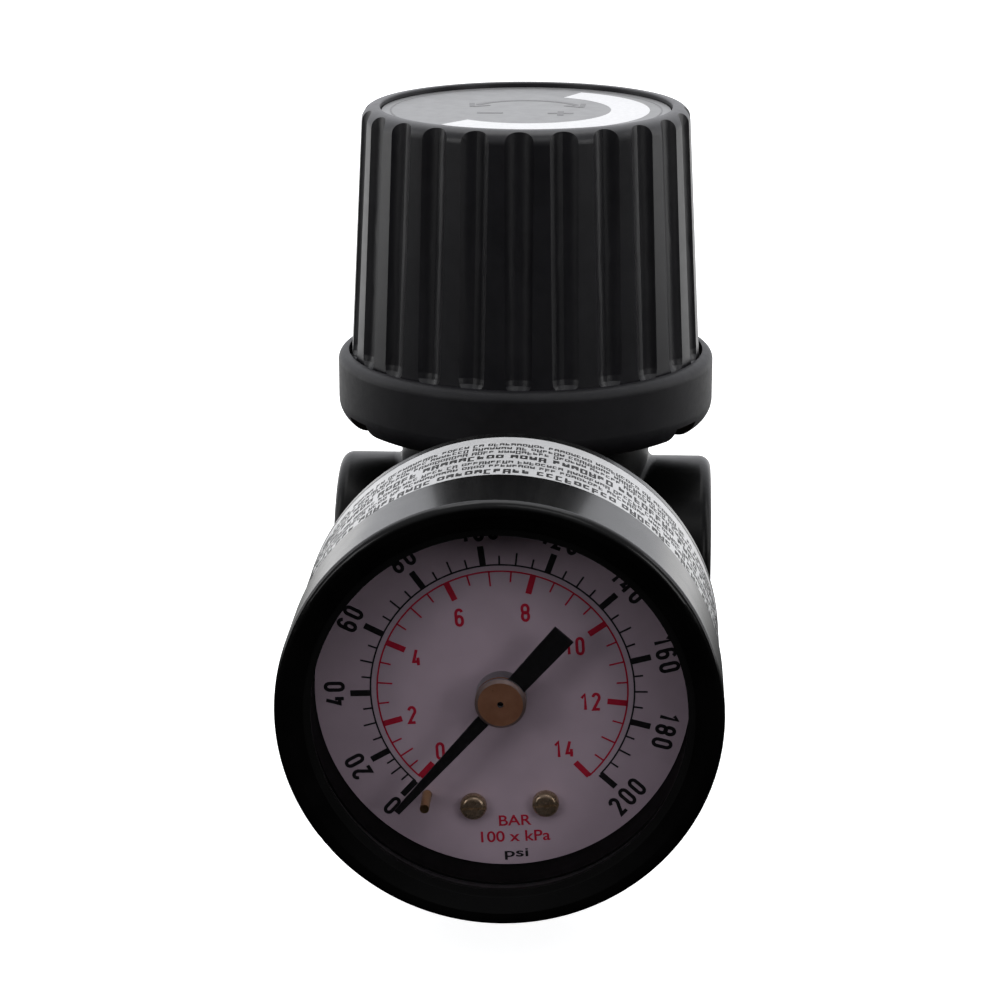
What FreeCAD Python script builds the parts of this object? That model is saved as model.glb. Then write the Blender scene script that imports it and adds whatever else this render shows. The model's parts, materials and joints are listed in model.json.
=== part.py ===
import FreeCAD, Part
import math
import os

import Sketcher

# Miniature air pressure regulator with a back-mounted dial gauge, in millimetres.
# Origin: centre of the flat face of the bottom valve plug, on the knob axis.
# +Z runs up the knob axis, the gauge faces -Y and the two pipe ports point along -X and +X.

SIZES = {
    # Clearances used all over
    "close_play": 0.05,
    "running_play": 0.1,
    "loose_play": 0.2,
    "cut_overrun": 3.0,
    # Casting: heights above the origin, radii about the knob axis
    "body_bottom": 3.0,
    "body_top": 43.4,
    "neck_radius": 13.8,
    "flange_bottom": 40.2,
    "flange_radius": 17.1,
    "port_height": 24.0,
    "port_face": 20.8,
    "port_boss_radius": 11.0,
    "port_bore_radius": 5.65,
    "port_bore_depth": 11.65,
    "port_mouth_chamfer": 1.1,
    "port_edge_round": 1.3,
    "passage_radius": 2.3,
    "passage_outer_reach": 2.5,
    "passage_inner_reach": 2.0,
    "inlet_passage_height": 19.6,
    "outlet_passage_height": 29.4,
    "gauge_height": 27.0,
    "gauge_boss_face": 19.0,
    "gauge_boss_radius": 7.6,
    "gauge_bore_radius": 4.9,
    "gauge_bore_depth": 10.5,
    "port_plug_gap": 1.2,
    "port_plug_recess": 0.4,
    "port_plug_key": 5.1,
    "port_plug_key_depth": 5.0,
    "chamber_radius": 7.5,
    "web_bottom": 22.5,
    "web_top": 26.5,
    "seat_bore_radius": 5.0,
    "plug_thread_radius": 8.7,
    "plug_thread_top": 9.0,
    "plug_end_gap": 0.4,
    "seal_groove_radius": 10.2,
    "seal_groove_top": 4.4,
    "diaphragm_chamber_radius": 14.6,
    "diaphragm_chamber_bottom": 41.2,
    "cast_round": 1.5,
    "boss_blend": 0.9,
    "gauge_edge_round": 0.8,
    # Valve below the diaphragm
    "plug_across_flats": 19.0,
    "plug_cup_radius": 6.6,
    "plug_cup_floor": 4.0,
    "guide_sleeve_radius": 3.7,
    "guide_sleeve_top": 11.0,
    "guide_bore_floor": 2.0,
    "poppet_stem_radius": 2.55,
    "poppet_stem_bottom": 6.0,
    "poppet_head_radius": 5.6,
    "poppet_head_bottom": 19.0,
    "poppet_head_top": 21.0,
    "poppet_pin_radius": 1.4,
    "seal_radius": 5.3,
    "seal_top": 22.2,
    "seat_opening_radius": 3.3,
    "seat_flange_radius": 6.2,
    "seat_flange_height": 0.8,
    "valve_spring_radius": 4.75,
    "valve_spring_wire": 0.6,
    "valve_spring_turns": 7.0,
    # Diaphragm stack
    "relief_disc_radius": 6.5,
    "relief_disc_bottom": 42.1,
    "relief_stud_radius": 2.4,
    "relief_stud_top": 47.2,
    "relief_hole_radius": 0.8,
    "diaphragm_thickness": 0.8,
    "diaphragm_radius": 16.8,
    "convolution_height": 1.1,
    "ridge_gap": 0.2,
    "ridge_slope": 0.8,
    "ridge_wall": 0.5,
    "slip_ring_thickness": 0.5,
    "plate_radius": 10.6,
    "plate_thickness": 0.7,
    "plate_rim_height": 2.0,
    "plate_rim_thickness": 0.5,
    "stack_nut_across_flats": 8.0,
    "stack_nut_height": 2.1,
    # Bonnet: collar and spring tower moulded in one piece
    "collar_bottom": 39.8,
    "collar_top": 47.75,
    "collar_radius": 20.75,
    "collar_lower_round": 2.6,
    "collar_upper_round": 1.1,
    "collar_recess_radius": 19.6,
    "collar_recess_floor": 46.4,
    "collar_floor_thickness": 0.8,
    "collar_thread_play": 0.1,
    "notch_width": 4.1,
    "notch_height": 1.9,
    "notch_floor": 0.5,
    "tower_radius": 14.2,
    "tower_bore_radius": 12.0,
    "tower_ceiling": 65.2,
    "tower_top": 67.0,
    "tower_screw_hole": 4.15,
    "key_slot_width": 3.2,
    "key_slot_radius": 13.1,
    "lock_ring_radius": 15.5,
    "lock_ring_top": 50.5,
    "lock_tooth_depth": 0.8,
    # Adjusting screw, travelling nut and range spring
    "screw_radius": 3.9,
    "screw_bottom": 50.0,
    "screw_flange_radius": 7.0,
    "screw_flange_bottom": 63.6,
    "screw_flange_top": 64.8,
    "screw_hex": 7.0,
    "screw_top": 72.0,
    "washer_radius": 8.0,
    "nut_radius": 11.7,
    "nut_top": 63.4,
    "nut_seat": 61.5,
    "nut_hub_radius": 6.6,
    "nut_hub_bottom": 56.0,
    "nut_bore_radius": 4.0,
    "nut_key_width": 2.8,
    "nut_key_radius": 12.8,
    "range_spring_radius": 9.0,
    "range_spring_wire": 2.0,
    "range_spring_turns": 4.0,
    # Knob
    "knob_bottom": 46.75,
    "knob_top": 74.7,
    "knob_bottom_radius": 19.28,
    "knob_top_radius": 17.8,
    "knob_wall": 1.8,
    "knob_edge_round": 1.5,
    "knob_label_edge_round": 0.22,
    "knob_foot_round": 0.45,
    "knob_roof": 72.3,
    "label_floor": 73.8,
    "label_recess_radius": 15.85,
    "label_radius": 15.7,
    "label_thickness": 0.35,
    "drive_boss_radius": 6.2,
    "drive_boss_bottom": 67.6,
    "drive_hex_clearance": 0.3,
    "flute_radius": 2.0,
    "flute_depth": 0.8,
    "flute_bottom": 46.6,
    "lock_rib_radius": 15.8,
    "lock_rib_width": 1.2,
    "lock_rib_height": 3.0,
    "lock_rib_root": 1.2,
    "lock_rib_start": 0.4,
    # Gauge: measured along its own axis, from the knob axis towards the viewer
    "gauge_roll": 3.5,
    "socket_thread_radius": 4.8,
    "socket_thread_end": 9.2,
    "socket_square": 11.0,
    "socket_square_start": 19.7,
    "socket_square_end": 31.0,
    "socket_neck_radius": 5.0,
    "socket_passage_radius": 1.2,
    "case_screw_hole_depth": 4.5,
    "block_half_width": 7.0,
    "block_low": 17.0,
    "block_high": 6.0,
    "block_front": 44.0,
    "case_back": 36.0,
    "case_wall": 1.4,
    "case_radius": 20.95,
    "case_bore_radius": 19.3,
    "case_label_start": 38.3,
    "case_label_end": 51.9,
    "case_label_depth": 0.2,
    "case_label_play": 0.03,
    "case_bore_taper": 1.2,
    "case_spigot_radius": 19.6,
    "case_spigot_bore": 18.1,
    "case_front": 57.6,
    "case_back_round": 1.2,
    "case_screw_x": 5.0,
    "case_screw_drop": 9.0,
    "case_screw_shank": 0.9,
    "case_screw_length": 5.5,
    "case_screw_head_radius": 1.9,
    "case_screw_head_height": 0.9,
    "case_screw_hole": 1.1,
    "case_screw_thread_hole": 0.95,
    "screw_slot_width": 0.5,
    "screw_slot_depth": 0.45,
    "bezel_radius": 21.1,
    "bezel_start": 52.0,
    "bezel_bore": 19.7,
    "bezel_front": 61.0,
    "bezel_opening": 17.68,
    "bezel_lip_back": 59.8,
    "bezel_edge_round": 0.8,
    "bezel_face_width": 1.3,
    "bezel_face_slope": 0.7,
    "lens_radius": 19.4,
    "lens_back": 58.6,
    "gasket_bore": 18.3,
    "dial_radius": 18.0,
    "dial_back": 53.0,
    "dial_front": 53.45,
    "dial_hole": 1.4,
    "dial_screw_x": 3.5,
    "dial_screw_drop": 11.7,
    "dial_screw_head_radius": 1.3,
    "dial_screw_head_height": 0.95,
    "dial_screw_shank": 0.7,
    "dial_screw_length": 2.2,
    "dial_slot_width": 0.3,
    "dial_slot_depth": 0.35,
    "stop_pin_radius": 0.45,
    "stop_pin_orbit": 13.1,
    "stop_pin_angle": 232.7,
    "stop_pin_front": 57.0,
    "pointer_back": 56.4,
    "pointer_thickness": 0.3,
    "pointer_length": 15.2,
    "pointer_tail": 9.1,
    "pointer_root_width": 1.3,
    "pointer_tip_width": 0.6,
    "tail_root_width": 1.85,
    "tail_end_width": 2.3,
    "hub_radius": 2.45,
    "hub_front": 57.3,
    "hub_neck_radius": 0.95,
    "hub_back": 54.7,
    "hub_bore_radius": 0.64,
    "hub_dimple_radius": 0.3,
    "hub_chamfer": 0.3,
    "hub_bore_play": 0.15,
    "pointer_eye_rim": 0.4,
    "zero_angle": 225.5,
    # Gauge movement
    "plate_back_start": 44.0,
    "plate_front_start": 49.4,
    "movement_plate": 0.8,
    "movement_half_width": 7.0,
    "movement_low": 16.4,
    "movement_high": 4.6,
    "pillar_radius": 1.1,
    "pivot_floor": 0.1,
    "movement_screw_rim": 0.2,
    "movement_screw_height": 0.7,
    "movement_slot_depth": 0.3,
    "post_floor": 0.6,
    "arbor_radius": 0.6,
    "arbor_back": 44.2,
    "arbor_front": 56.6,
    "plate_hole_clearance": 0.08,
    "gear_module": 0.2,
    "pinion_teeth": 12,
    "sector_ring_teeth": 96,
    "sector_teeth": 13,
    "gear_start": 46.6,
    "sector_thickness": 0.7,
    "pinion_thickness": 1.2,
    "sector_tail": 4.0,
    "sector_rim": 1.2,
    "sector_arm_half_width": 0.7,
    "sector_hub_radius": 1.5,
    "sector_eye_radius": 0.9,
    "tail_pin_stand": 0.3,
    "tail_pin_radius": 0.5,
    "link_start": 47.6,
    "link_thickness": 0.4,
    "link_half_width": 0.9,
    "link_bar_half_width": 0.54,
    "link_play": 0.06,
    "tube_orbit": 14.5,
    "tube_back": 38.6,
    "tube_front": 43.6,
    "tube_half_thickness": 0.9,
    "tube_wall": 0.3,
    "tip_cap_wall": 0.3,
    "tip_cap_length": 2.4,
    "tip_lug_radius": 0.9,
    "tip_lug_set_back": 1.2,
    "tube_start_angle": 244.0,
    "tube_end_angle": 318.0,
    "hairspring_start": 48.2,
    "hairspring_height": 0.3,
    "hairspring_strip": 0.12,
    "hairspring_gap": 0.4,
    "hairspring_inner": 0.9,
    "hairspring_turns": 5,
}

FLUTES = 24
FLUTE_END_STEPS = 5
COLLAR_NOTCHES = 6
LOCK_TEETH = 24
LOCK_RIBS = 12
PILLARS = [(5.6, 2.8), (-5.6, 2.8), (-5.4, -14.6)]
TUBE_CORNER = 0.6
HEX_CORNER = 1 / math.sqrt(3)
GEAR_PLAY = 0.05
# Tooth proportions in gear modules
TOOTH_ROOT = 1.35
TOOTH_TIP = 0.85
TOOTH_POINT = 0.42
PINION_TOOTH_BASE = 0.95
SECTOR_TOOTH_BASE = 0.85
RIM_DEPTH = 1.25
RIM_STEPS = 4
# The sector rests with this many of its teeth past the line to the pinion
TEETH_BEFORE_REST = 4.5


class Size:
    """A length together with the spreadsheet expression that gives it."""

    def __init__(self, value, text):
        self.value = float(value)
        self.text = text

    def joined(self, other, sign, value):
        return Size(value, f"({self.text} {sign} {as_size(other).text})")

    def __add__(self, other):
        return self.joined(other, "+", self.value + as_size(other).value)

    def __sub__(self, other):
        return self.joined(other, "-", self.value - as_size(other).value)

    def __mul__(self, other):
        return self.joined(other, "*", self.value * as_size(other).value)

    def __truediv__(self, other):
        return self.joined(other, "/", self.value / as_size(other).value)

    def __neg__(self):
        return Size(-self.value, f"(-{self.text})")

    def __rsub__(self, other):
        return as_size(other) - self

    __radd__ = __add__
    __rmul__ = __mul__


def as_size(number):
    if isinstance(number, Size):
        return number
    return Size(number, repr(round(float(number), 6)))


class Sheet:
    """The spreadsheet of driving sizes; sheet.NAME is a Size bound to its cell."""

    def __init__(self, document, sizes):
        self.cells = document.addObject("Spreadsheet::Sheet", "Sizes")
        for row, (alias, value) in enumerate(sizes.items(), 1):
            self.cells.set(f"A{row}", alias.replace("_", " "))
            self.cells.set(f"B{row}", str(value))
            self.cells.setAlias(f"B{row}", alias)
        document.recompute()

    def __getattr__(self, alias):
        return Size(self.cells.get(alias), f"Sizes.{alias}")


doc = FreeCAD.newDocument("AirPressureRegulator")
size = Sheet(doc, SIZES)
gauge_frame = FreeCAD.Placement(
    FreeCAD.Vector(0, 0, size.gauge_height.value),
    FreeCAD.Rotation(FreeCAD.Vector(1, 0, 0), 90)
    * FreeCAD.Rotation(FreeCAD.Vector(0, 0, 1), size.gauge_roll.value),
)


def new_body(label, placement=None):
    body = doc.addObject("PartDesign::Body", label)
    body.Label = label
    if placement:
        body.Placement = placement
    return body


def origin_feature(body, role):
    return next(item for item in body.Origin.OriginFeatures if item.Role == role)


def bind(item, path, number):
    item.setExpression(path, as_size(number).text)


def new_sketch(body, name, plane="XY_Plane", offset=0):
    """A sketch on one of the body's origin planes, moved along the plane's normal by offset."""
    sketch = body.newObject("Sketcher::SketchObject", f"{body.Name}_{name}_sketch")
    sketch.AttachmentSupport = [(origin_feature(body, plane), "")]
    sketch.MapMode = "FlatFace"
    bind(sketch, "AttachmentOffset.Base.z", offset)
    return sketch


def lock_point(sketch, geometry, end, point):
    """Hold one point of a sketch at its two coordinates."""
    for axis, kind, number in ((-2, "DistanceX", point[0]), (-1, "DistanceY", point[1])):
        number = as_size(number)
        if number.value == 0:
            sketch.addConstraint(Sketcher.Constraint("PointOnObject", geometry, end, axis))
        else:
            constraint = Sketcher.Constraint(kind, -1, 1, geometry, end, number.value)
            index = sketch.addConstraint(constraint)
            bind(sketch, f"Constraints[{index}]", number)


def add_outline(sketch, points):
    """A closed polygon through the points."""
    first = sketch.GeometryCount
    count = len(points)
    places = [FreeCAD.Vector(as_size(x).value, as_size(y).value, 0) for x, y in points]
    for index in range(count):
        line = Part.LineSegment(places[index], places[(index + 1) % count])
        sketch.addGeometry(line)
    for index in range(count):
        following = first + (index + 1) % count
        sketch.addConstraint(Sketcher.Constraint("Coincident", first + index, 2, following, 1))
        lock_point(sketch, first + index, 1, points[index])


def add_circle(sketch, radius, centre=(0, 0)):
    radius = as_size(radius)
    place = FreeCAD.Vector(as_size(centre[0]).value, as_size(centre[1]).value, 0)
    circle = sketch.addGeometry(Part.Circle(place, FreeCAD.Vector(0, 0, 1), radius.value))
    index = sketch.addConstraint(Sketcher.Constraint("Radius", circle, radius.value))
    bind(sketch, f"Constraints[{index}]", radius)
    if as_size(centre[0]).value == 0 and as_size(centre[1]).value == 0:
        sketch.addConstraint(Sketcher.Constraint("Coincident", circle, 3, -1, 1))
    else:
        lock_point(sketch, circle, 3, centre)


def revolve(body, name, points, cut=False, angle=360):
    """Turn an outline of (radius, height) points about the body's Z axis."""
    sketch = new_sketch(body, name, "XZ_Plane")
    add_outline(sketch, points)
    kind = "PartDesign::Groove" if cut else "PartDesign::Revolution"
    feature = body.newObject(kind, f"{body.Name}_{name}")
    feature.Profile = sketch
    feature.ReferenceAxis = (sketch, ["V_Axis"])
    feature.Angle = angle
    return feature


def extrude(body, name, draw, start, length, cut=False, plane="XY_Plane"):
    """Pad or pocket along the plane's normal, from start over length; draw fills the sketch."""
    sketch = new_sketch(body, name, plane, start)
    draw(sketch)
    kind = "PartDesign::Pocket" if cut else "PartDesign::Pad"
    feature = body.newObject(kind, f"{body.Name}_{name}")
    feature.Profile = sketch
    bind(feature, "Length", length)
    feature.Reversed = cut
    return feature


def circle_drawing(radius, centre=(0, 0)):
    return lambda sketch: add_circle(sketch, radius, centre)


def outline_drawing(points):
    return lambda sketch: add_outline(sketch, points)


def rectangle(low_x, low_y, high_x, high_y):
    return [(low_x, low_y), (high_x, low_y), (high_x, high_y), (low_x, high_y)]


def hexagon(across_flats):
    half = across_flats / 2
    corner = across_flats * HEX_CORNER
    return [
        (corner, 0),
        (corner / 2, half),
        (-corner / 2, half),
        (-corner, 0),
        (-corner / 2, -half),
        (corner / 2, -half),
    ]


def repeat_around(body, name, features, count, angle=360):
    """Repeat features about the body's Z axis."""
    pattern = body.newObject("PartDesign::PolarPattern", f"{body.Name}_{name}")
    pattern.Originals = features
    pattern.Axis = (origin_feature(body, "Z_Axis"), [""])
    pattern.Angle = angle
    pattern.Occurrences = count
    body.Tip = pattern
    return pattern


def circle_edges(shape, radius, centre):
    """Names of the circular edges with this radius and centre."""
    names = []
    for number, edge in enumerate(shape.Edges, 1):
        curve = edge.Curve
        if not isinstance(curve, Part.Circle):
            continue
        if abs(curve.Radius - radius.value) > 0.01:
            continue
        if curve.Center.distanceToPoint(FreeCAD.Vector(*centre)) < 0.01:
            names.append(f"Edge{number}")
    return names


def soften(body, name, places, amount, kind="Fillet"):
    """Fillet or chamfer the circular edges given as (radius, centre)."""
    doc.recompute()
    base = body.Tip
    names = []
    for radius, centre in places:
        names += circle_edges(base.Shape, as_size(radius), centre)
    if not names:
        raise ValueError(f"no edges found for {body.Name} {name}")
    feature = body.newObject(f"PartDesign::{kind}", f"{body.Name}_{name}")
    feature.Base = (base, names)
    bind(feature, "Radius" if kind == "Fillet" else "Size", amount)
    return feature


def coil(label, radius, wire, bottom, top, turns):
    """A compression spring standing on the Z axis between two seats."""
    body = new_body(label)
    sketch = new_sketch(body, "wire", "XZ_Plane")
    add_circle(sketch, wire / 2, (radius, bottom + wire / 2))
    spring = body.newObject("PartDesign::AdditiveHelix", f"{label}_coils")
    spring.Profile = sketch
    spring.ReferenceAxis = (sketch, ["V_Axis"])
    spring.Mode = "height-turns-angle"
    bind(spring, "Height", top - bottom - wire)
    bind(spring, "Turns", turns)
    return body


def turned(label, points, placement=None):
    """A body made by one revolution."""
    body = new_body(label, placement)
    revolve(body, "turned", points)
    return body


def disc_points(inner, outer, low, high):
    return rectangle(inner, low, outer, high)


# ---------------------------------------------------------------- casting


def make_body():
    body = new_body("body")
    revolve(body, "core", [
        (0, size.body_bottom),
        (size.neck_radius, size.body_bottom),
        (size.neck_radius, size.flange_bottom),
        (size.flange_radius, size.flange_bottom),
        (size.flange_radius, size.body_top),
        (0, size.body_top),
    ])
    port = circle_drawing(size.port_boss_radius, (0, size.port_height))
    extrude(body, "port_bosses", port, -size.port_face, size.port_face * 2, plane="YZ_Plane")
    boss = circle_drawing(size.gauge_boss_radius, (0, size.gauge_height))
    extrude(body, "gauge_bosses", boss, -size.gauge_boss_face, size.gauge_boss_face * 2,
            plane="XZ_Plane")
    soften(body, "bottom_round", [(size.neck_radius, (0, 0, size.body_bottom.value))],
           size.cast_round)
    blend_bosses(body)
    revolve(body, "chambers", [
        (0, size.body_bottom),
        (size.seal_groove_radius, size.body_bottom),
        (size.seal_groove_radius, size.seal_groove_top),
        (size.plug_thread_radius, size.seal_groove_top),
        (size.plug_thread_radius, size.plug_thread_top),
        (size.chamber_radius, size.plug_thread_top),
        (size.chamber_radius, size.web_bottom),
        (size.seat_bore_radius, size.web_bottom),
        (size.seat_bore_radius, size.web_top),
        (size.chamber_radius, size.web_top),
        (size.chamber_radius, size.diaphragm_chamber_bottom),
        (size.diaphragm_chamber_radius, size.diaphragm_chamber_bottom),
        (size.diaphragm_chamber_radius, size.body_top),
        (0, size.body_top),
    ], cut=True)
    cut_side_bores(body)
    face_x = size.port_face.value
    height = size.port_height.value
    mouths = [(size.port_bore_radius, (side * face_x, 0, height)) for side in (-1, 1)]
    soften(body, "mouth_chamfers", mouths, size.port_mouth_chamfer, "Chamfer")
    rims = [(size.port_boss_radius, (side * face_x, 0, height)) for side in (-1, 1)]
    soften(body, "port_rims", rims, size.port_edge_round)
    face_y = size.gauge_boss_face.value
    height = size.gauge_height.value
    rims = [(size.gauge_boss_radius, (0, side * face_y, height)) for side in (-1, 1)]
    soften(body, "gauge_rims", rims, size.gauge_edge_round)
    return body


def blend_bosses(body):
    """Cast fillets where the four side bosses leave the neck."""
    doc.recompute()
    base = body.Tip
    names = []
    for number, edge in enumerate(base.Shape.Edges, 1):
        if isinstance(edge.Curve, (Part.Circle, Part.Line)):
            continue
        names.append(f"Edge{number}")
    feature = body.newObject("PartDesign::Fillet", "body_boss_blends")
    feature.Base = (base, names)
    bind(feature, "Radius", size.boss_blend)


def cut_side_bores(body):
    """Tapped bores from the side faces, and the passages from them to the valve chambers."""
    port = circle_drawing(size.port_bore_radius, (0, size.port_height))
    gauge = circle_drawing(size.gauge_bore_radius, (0, size.gauge_height))
    depth = size.port_bore_depth
    extrude(body, "outlet_bore", port, size.port_face - depth, depth, True, "YZ_Plane")
    extrude(body, "inlet_bore", port, -size.port_face, depth, True, "YZ_Plane")
    depth = size.gauge_bore_depth
    extrude(body, "front_bore", gauge, size.gauge_boss_face - depth, depth, True, "XZ_Plane")
    extrude(body, "rear_bore", gauge, -size.gauge_boss_face, depth, True, "XZ_Plane")
    inlet = circle_drawing(size.passage_radius, (0, size.inlet_passage_height))
    outlet = circle_drawing(size.passage_radius, (0, size.outlet_passage_height))
    reach = size.chamber_radius + size.passage_outer_reach
    inner = size.chamber_radius - size.passage_inner_reach
    extrude(body, "inlet_passage", inlet, -reach, reach - inner, True, "YZ_Plane")
    extrude(body, "outlet_passage", outlet, inner, reach - inner, True, "YZ_Plane")
    extrude(body, "front_passage", outlet, inner, reach - inner, True, "XZ_Plane")
    extrude(body, "rear_passage", outlet, -reach, reach - inner, True, "XZ_Plane")


# ---------------------------------------------------------------- valve


def make_bottom_plug():
    body = new_body("bottom_plug")
    flats = outline_drawing(hexagon(size.plug_across_flats))
    extrude(body, "head", flats, 0, size.body_bottom)
    top = size.plug_thread_top - size.plug_end_gap
    revolve(body, "spigot", [
        (0, size.body_bottom),
        (size.plug_thread_radius - size.running_play, size.body_bottom),
        (size.plug_thread_radius - size.running_play, top),
        (size.plug_cup_radius, top),
        (size.plug_cup_radius, size.plug_cup_floor),
        (size.guide_sleeve_radius, size.plug_cup_floor),
        (size.guide_sleeve_radius, size.guide_sleeve_top),
        (0, size.guide_sleeve_top),
    ])
    bore = circle_drawing(size.poppet_stem_radius + size.running_play)
    extrude(body, "guide_bore", bore, size.guide_bore_floor,
            size.guide_sleeve_top - size.guide_bore_floor, True)
    return body


def make_plug_o_ring():
    ring = doc.addObject("Part::Torus", "plug_o_ring")
    ring.Label = "plug_o_ring"
    depth = size.seal_groove_top - size.body_bottom
    bind(ring, "Radius2", depth / 2 - size.close_play)
    bind(ring, "Radius1", size.seal_groove_radius - depth / 2)
    bind(ring, "Placement.Base.z", size.body_bottom + depth / 2)
    return ring


def make_valve():
    turned("poppet", [
        (0, size.poppet_stem_bottom),
        (size.poppet_stem_radius, size.poppet_stem_bottom),
        (size.poppet_stem_radius, size.poppet_head_bottom),
        (size.poppet_head_radius, size.poppet_head_bottom),
        (size.poppet_head_radius, size.poppet_head_top),
        (size.poppet_pin_radius, size.poppet_head_top),
        (size.poppet_pin_radius, size.relief_disc_bottom),
        (0, size.relief_disc_bottom),
    ])
    turned("poppet_seal", disc_points(
        size.poppet_pin_radius + size.running_play, size.seal_radius, size.poppet_head_top,
        size.seal_top))
    turned("valve_seat", [
        (size.seat_opening_radius, size.seal_top),
        (size.seat_bore_radius - size.close_play, size.seal_top),
        (size.seat_bore_radius - size.close_play, size.web_top),
        (size.seat_flange_radius, size.web_top),
        (size.seat_flange_radius, size.web_top + size.seat_flange_height),
        (size.seat_opening_radius, size.web_top + size.seat_flange_height),
    ])
    coil("valve_spring", size.valve_spring_radius, size.valve_spring_wire,
         size.plug_cup_floor, size.poppet_head_bottom, size.valve_spring_turns)


# ---------------------------------------------------------------- diaphragm stack


def make_diaphragm_stack():
    low = size.body_top
    high = low + size.diaphragm_thickness
    bore = size.relief_stud_radius + size.close_play
    turned("relief_seat", [
        (size.relief_hole_radius, size.relief_disc_bottom),
        (size.relief_disc_radius, size.relief_disc_bottom),
        (size.relief_disc_radius, low),
        (size.relief_stud_radius, low),
        (size.relief_stud_radius, size.relief_stud_top),
        (size.relief_hole_radius, size.relief_stud_top),
    ])
    turned("diaphragm", convoluted_outline(bore, low, high))
    ring_top = high + size.slip_ring_thickness
    turned("slip_ring", disc_points(
        size.diaphragm_chamber_radius, size.diaphragm_radius, high, ring_top))
    plate_top = high + size.plate_thickness
    turned("diaphragm_plate", [
        (bore, high),
        (size.plate_radius, high),
        (size.plate_radius, high + size.plate_rim_height),
        (size.plate_radius - size.plate_rim_thickness, high + size.plate_rim_height),
        (size.plate_radius - size.plate_rim_thickness, plate_top),
        (bore, plate_top),
    ])
    nut = new_body("diaphragm_nut")
    flats = outline_drawing(hexagon(size.stack_nut_across_flats))
    extrude(nut, "flats", flats, plate_top, size.stack_nut_height)
    extrude(nut, "bore", circle_drawing(bore), plate_top, size.stack_nut_height, True)


def convoluted_outline(bore, low, high):
    """A flat rubber disc with one raised ring that lets its centre move."""
    inner = size.plate_radius
    outer = size.diaphragm_chamber_radius
    rise = size.convolution_height
    gap = size.ridge_gap
    slope = size.ridge_slope
    wall = size.ridge_wall
    return [
        (bore, low),
        (inner + gap + wall, low),
        (inner + gap + wall + slope, low + rise),
        (outer - slope - wall, low + rise),
        (outer - wall, low),
        (size.diaphragm_radius, low),
        (size.diaphragm_radius, high),
        (outer, high),
        (outer - slope, high + rise),
        (inner + gap + slope, high + rise),
        (inner + gap, high),
        (bore, high),
    ]


# ---------------------------------------------------------------- bonnet and spring


def make_bonnet():
    body = new_body("bonnet")
    clamp = size.body_top + size.diaphragm_thickness + size.slip_ring_thickness
    thread = size.flange_radius + size.collar_thread_play
    step = size.collar_recess_floor - size.collar_floor_thickness
    revolve(body, "shell", [
        (thread, size.collar_bottom),
        (size.collar_radius, size.collar_bottom),
        (size.collar_radius, size.collar_top),
        (size.collar_recess_radius, size.collar_top),
        (size.collar_recess_radius, size.collar_recess_floor),
        (size.lock_ring_radius, size.collar_recess_floor),
        (size.lock_ring_radius, size.lock_ring_top),
        (size.tower_radius, size.lock_ring_top),
        (size.tower_radius, size.tower_top),
        (size.tower_screw_hole, size.tower_top),
        (size.tower_screw_hole, size.tower_ceiling),
        (size.tower_bore_radius, size.tower_ceiling),
        (size.tower_bore_radius, step),
        (size.diaphragm_chamber_radius, step),
        (size.diaphragm_chamber_radius, clamp),
        (thread, clamp),
    ])
    bottom = (0, 0, size.collar_bottom.value)
    soften(body, "lower_round", [(size.collar_radius, bottom)], size.collar_lower_round)
    top = (0, 0, size.collar_top.value)
    soften(body, "upper_round", [(size.collar_radius, top)], size.collar_upper_round)
    crown = (0, 0, size.tower_top.value)
    soften(body, "tower_round", [(size.tower_radius, crown)], size.boss_blend)
    half = size.key_slot_width / 2
    slots = rectangle(-size.key_slot_radius, -half, size.key_slot_radius, half)
    extrude(body, "key_slots", outline_drawing(slots), step, size.tower_ceiling - step, True)
    cut_lock_teeth(body)
    half = size.notch_width / 2
    notch = rectangle(
        -half, -size.collar_radius - size.cut_overrun, half, -thread + size.notch_floor)
    cut = extrude(body, "notch", outline_drawing(notch), size.collar_bottom,
                  size.notch_height, True)
    repeat_around(body, "notches", [cut], COLLAR_NOTCHES)


def cut_lock_teeth(body):
    """Gaps between the lock teeth round the foot of the tower."""
    half = math.pi * SIZES["lock_ring_radius"] / LOCK_TEETH / 2
    inner = size.lock_ring_radius - size.lock_tooth_depth
    outer = size.lock_ring_radius + size.loose_play
    gap = [(inner, 0), (outer, -half), (outer, half)]
    height = size.lock_ring_top - size.collar_recess_floor
    cut = extrude(body, "lock_gap", outline_drawing(gap), size.collar_recess_floor, height, True)
    repeat_around(body, "lock_teeth", [cut], LOCK_TEETH)


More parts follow.
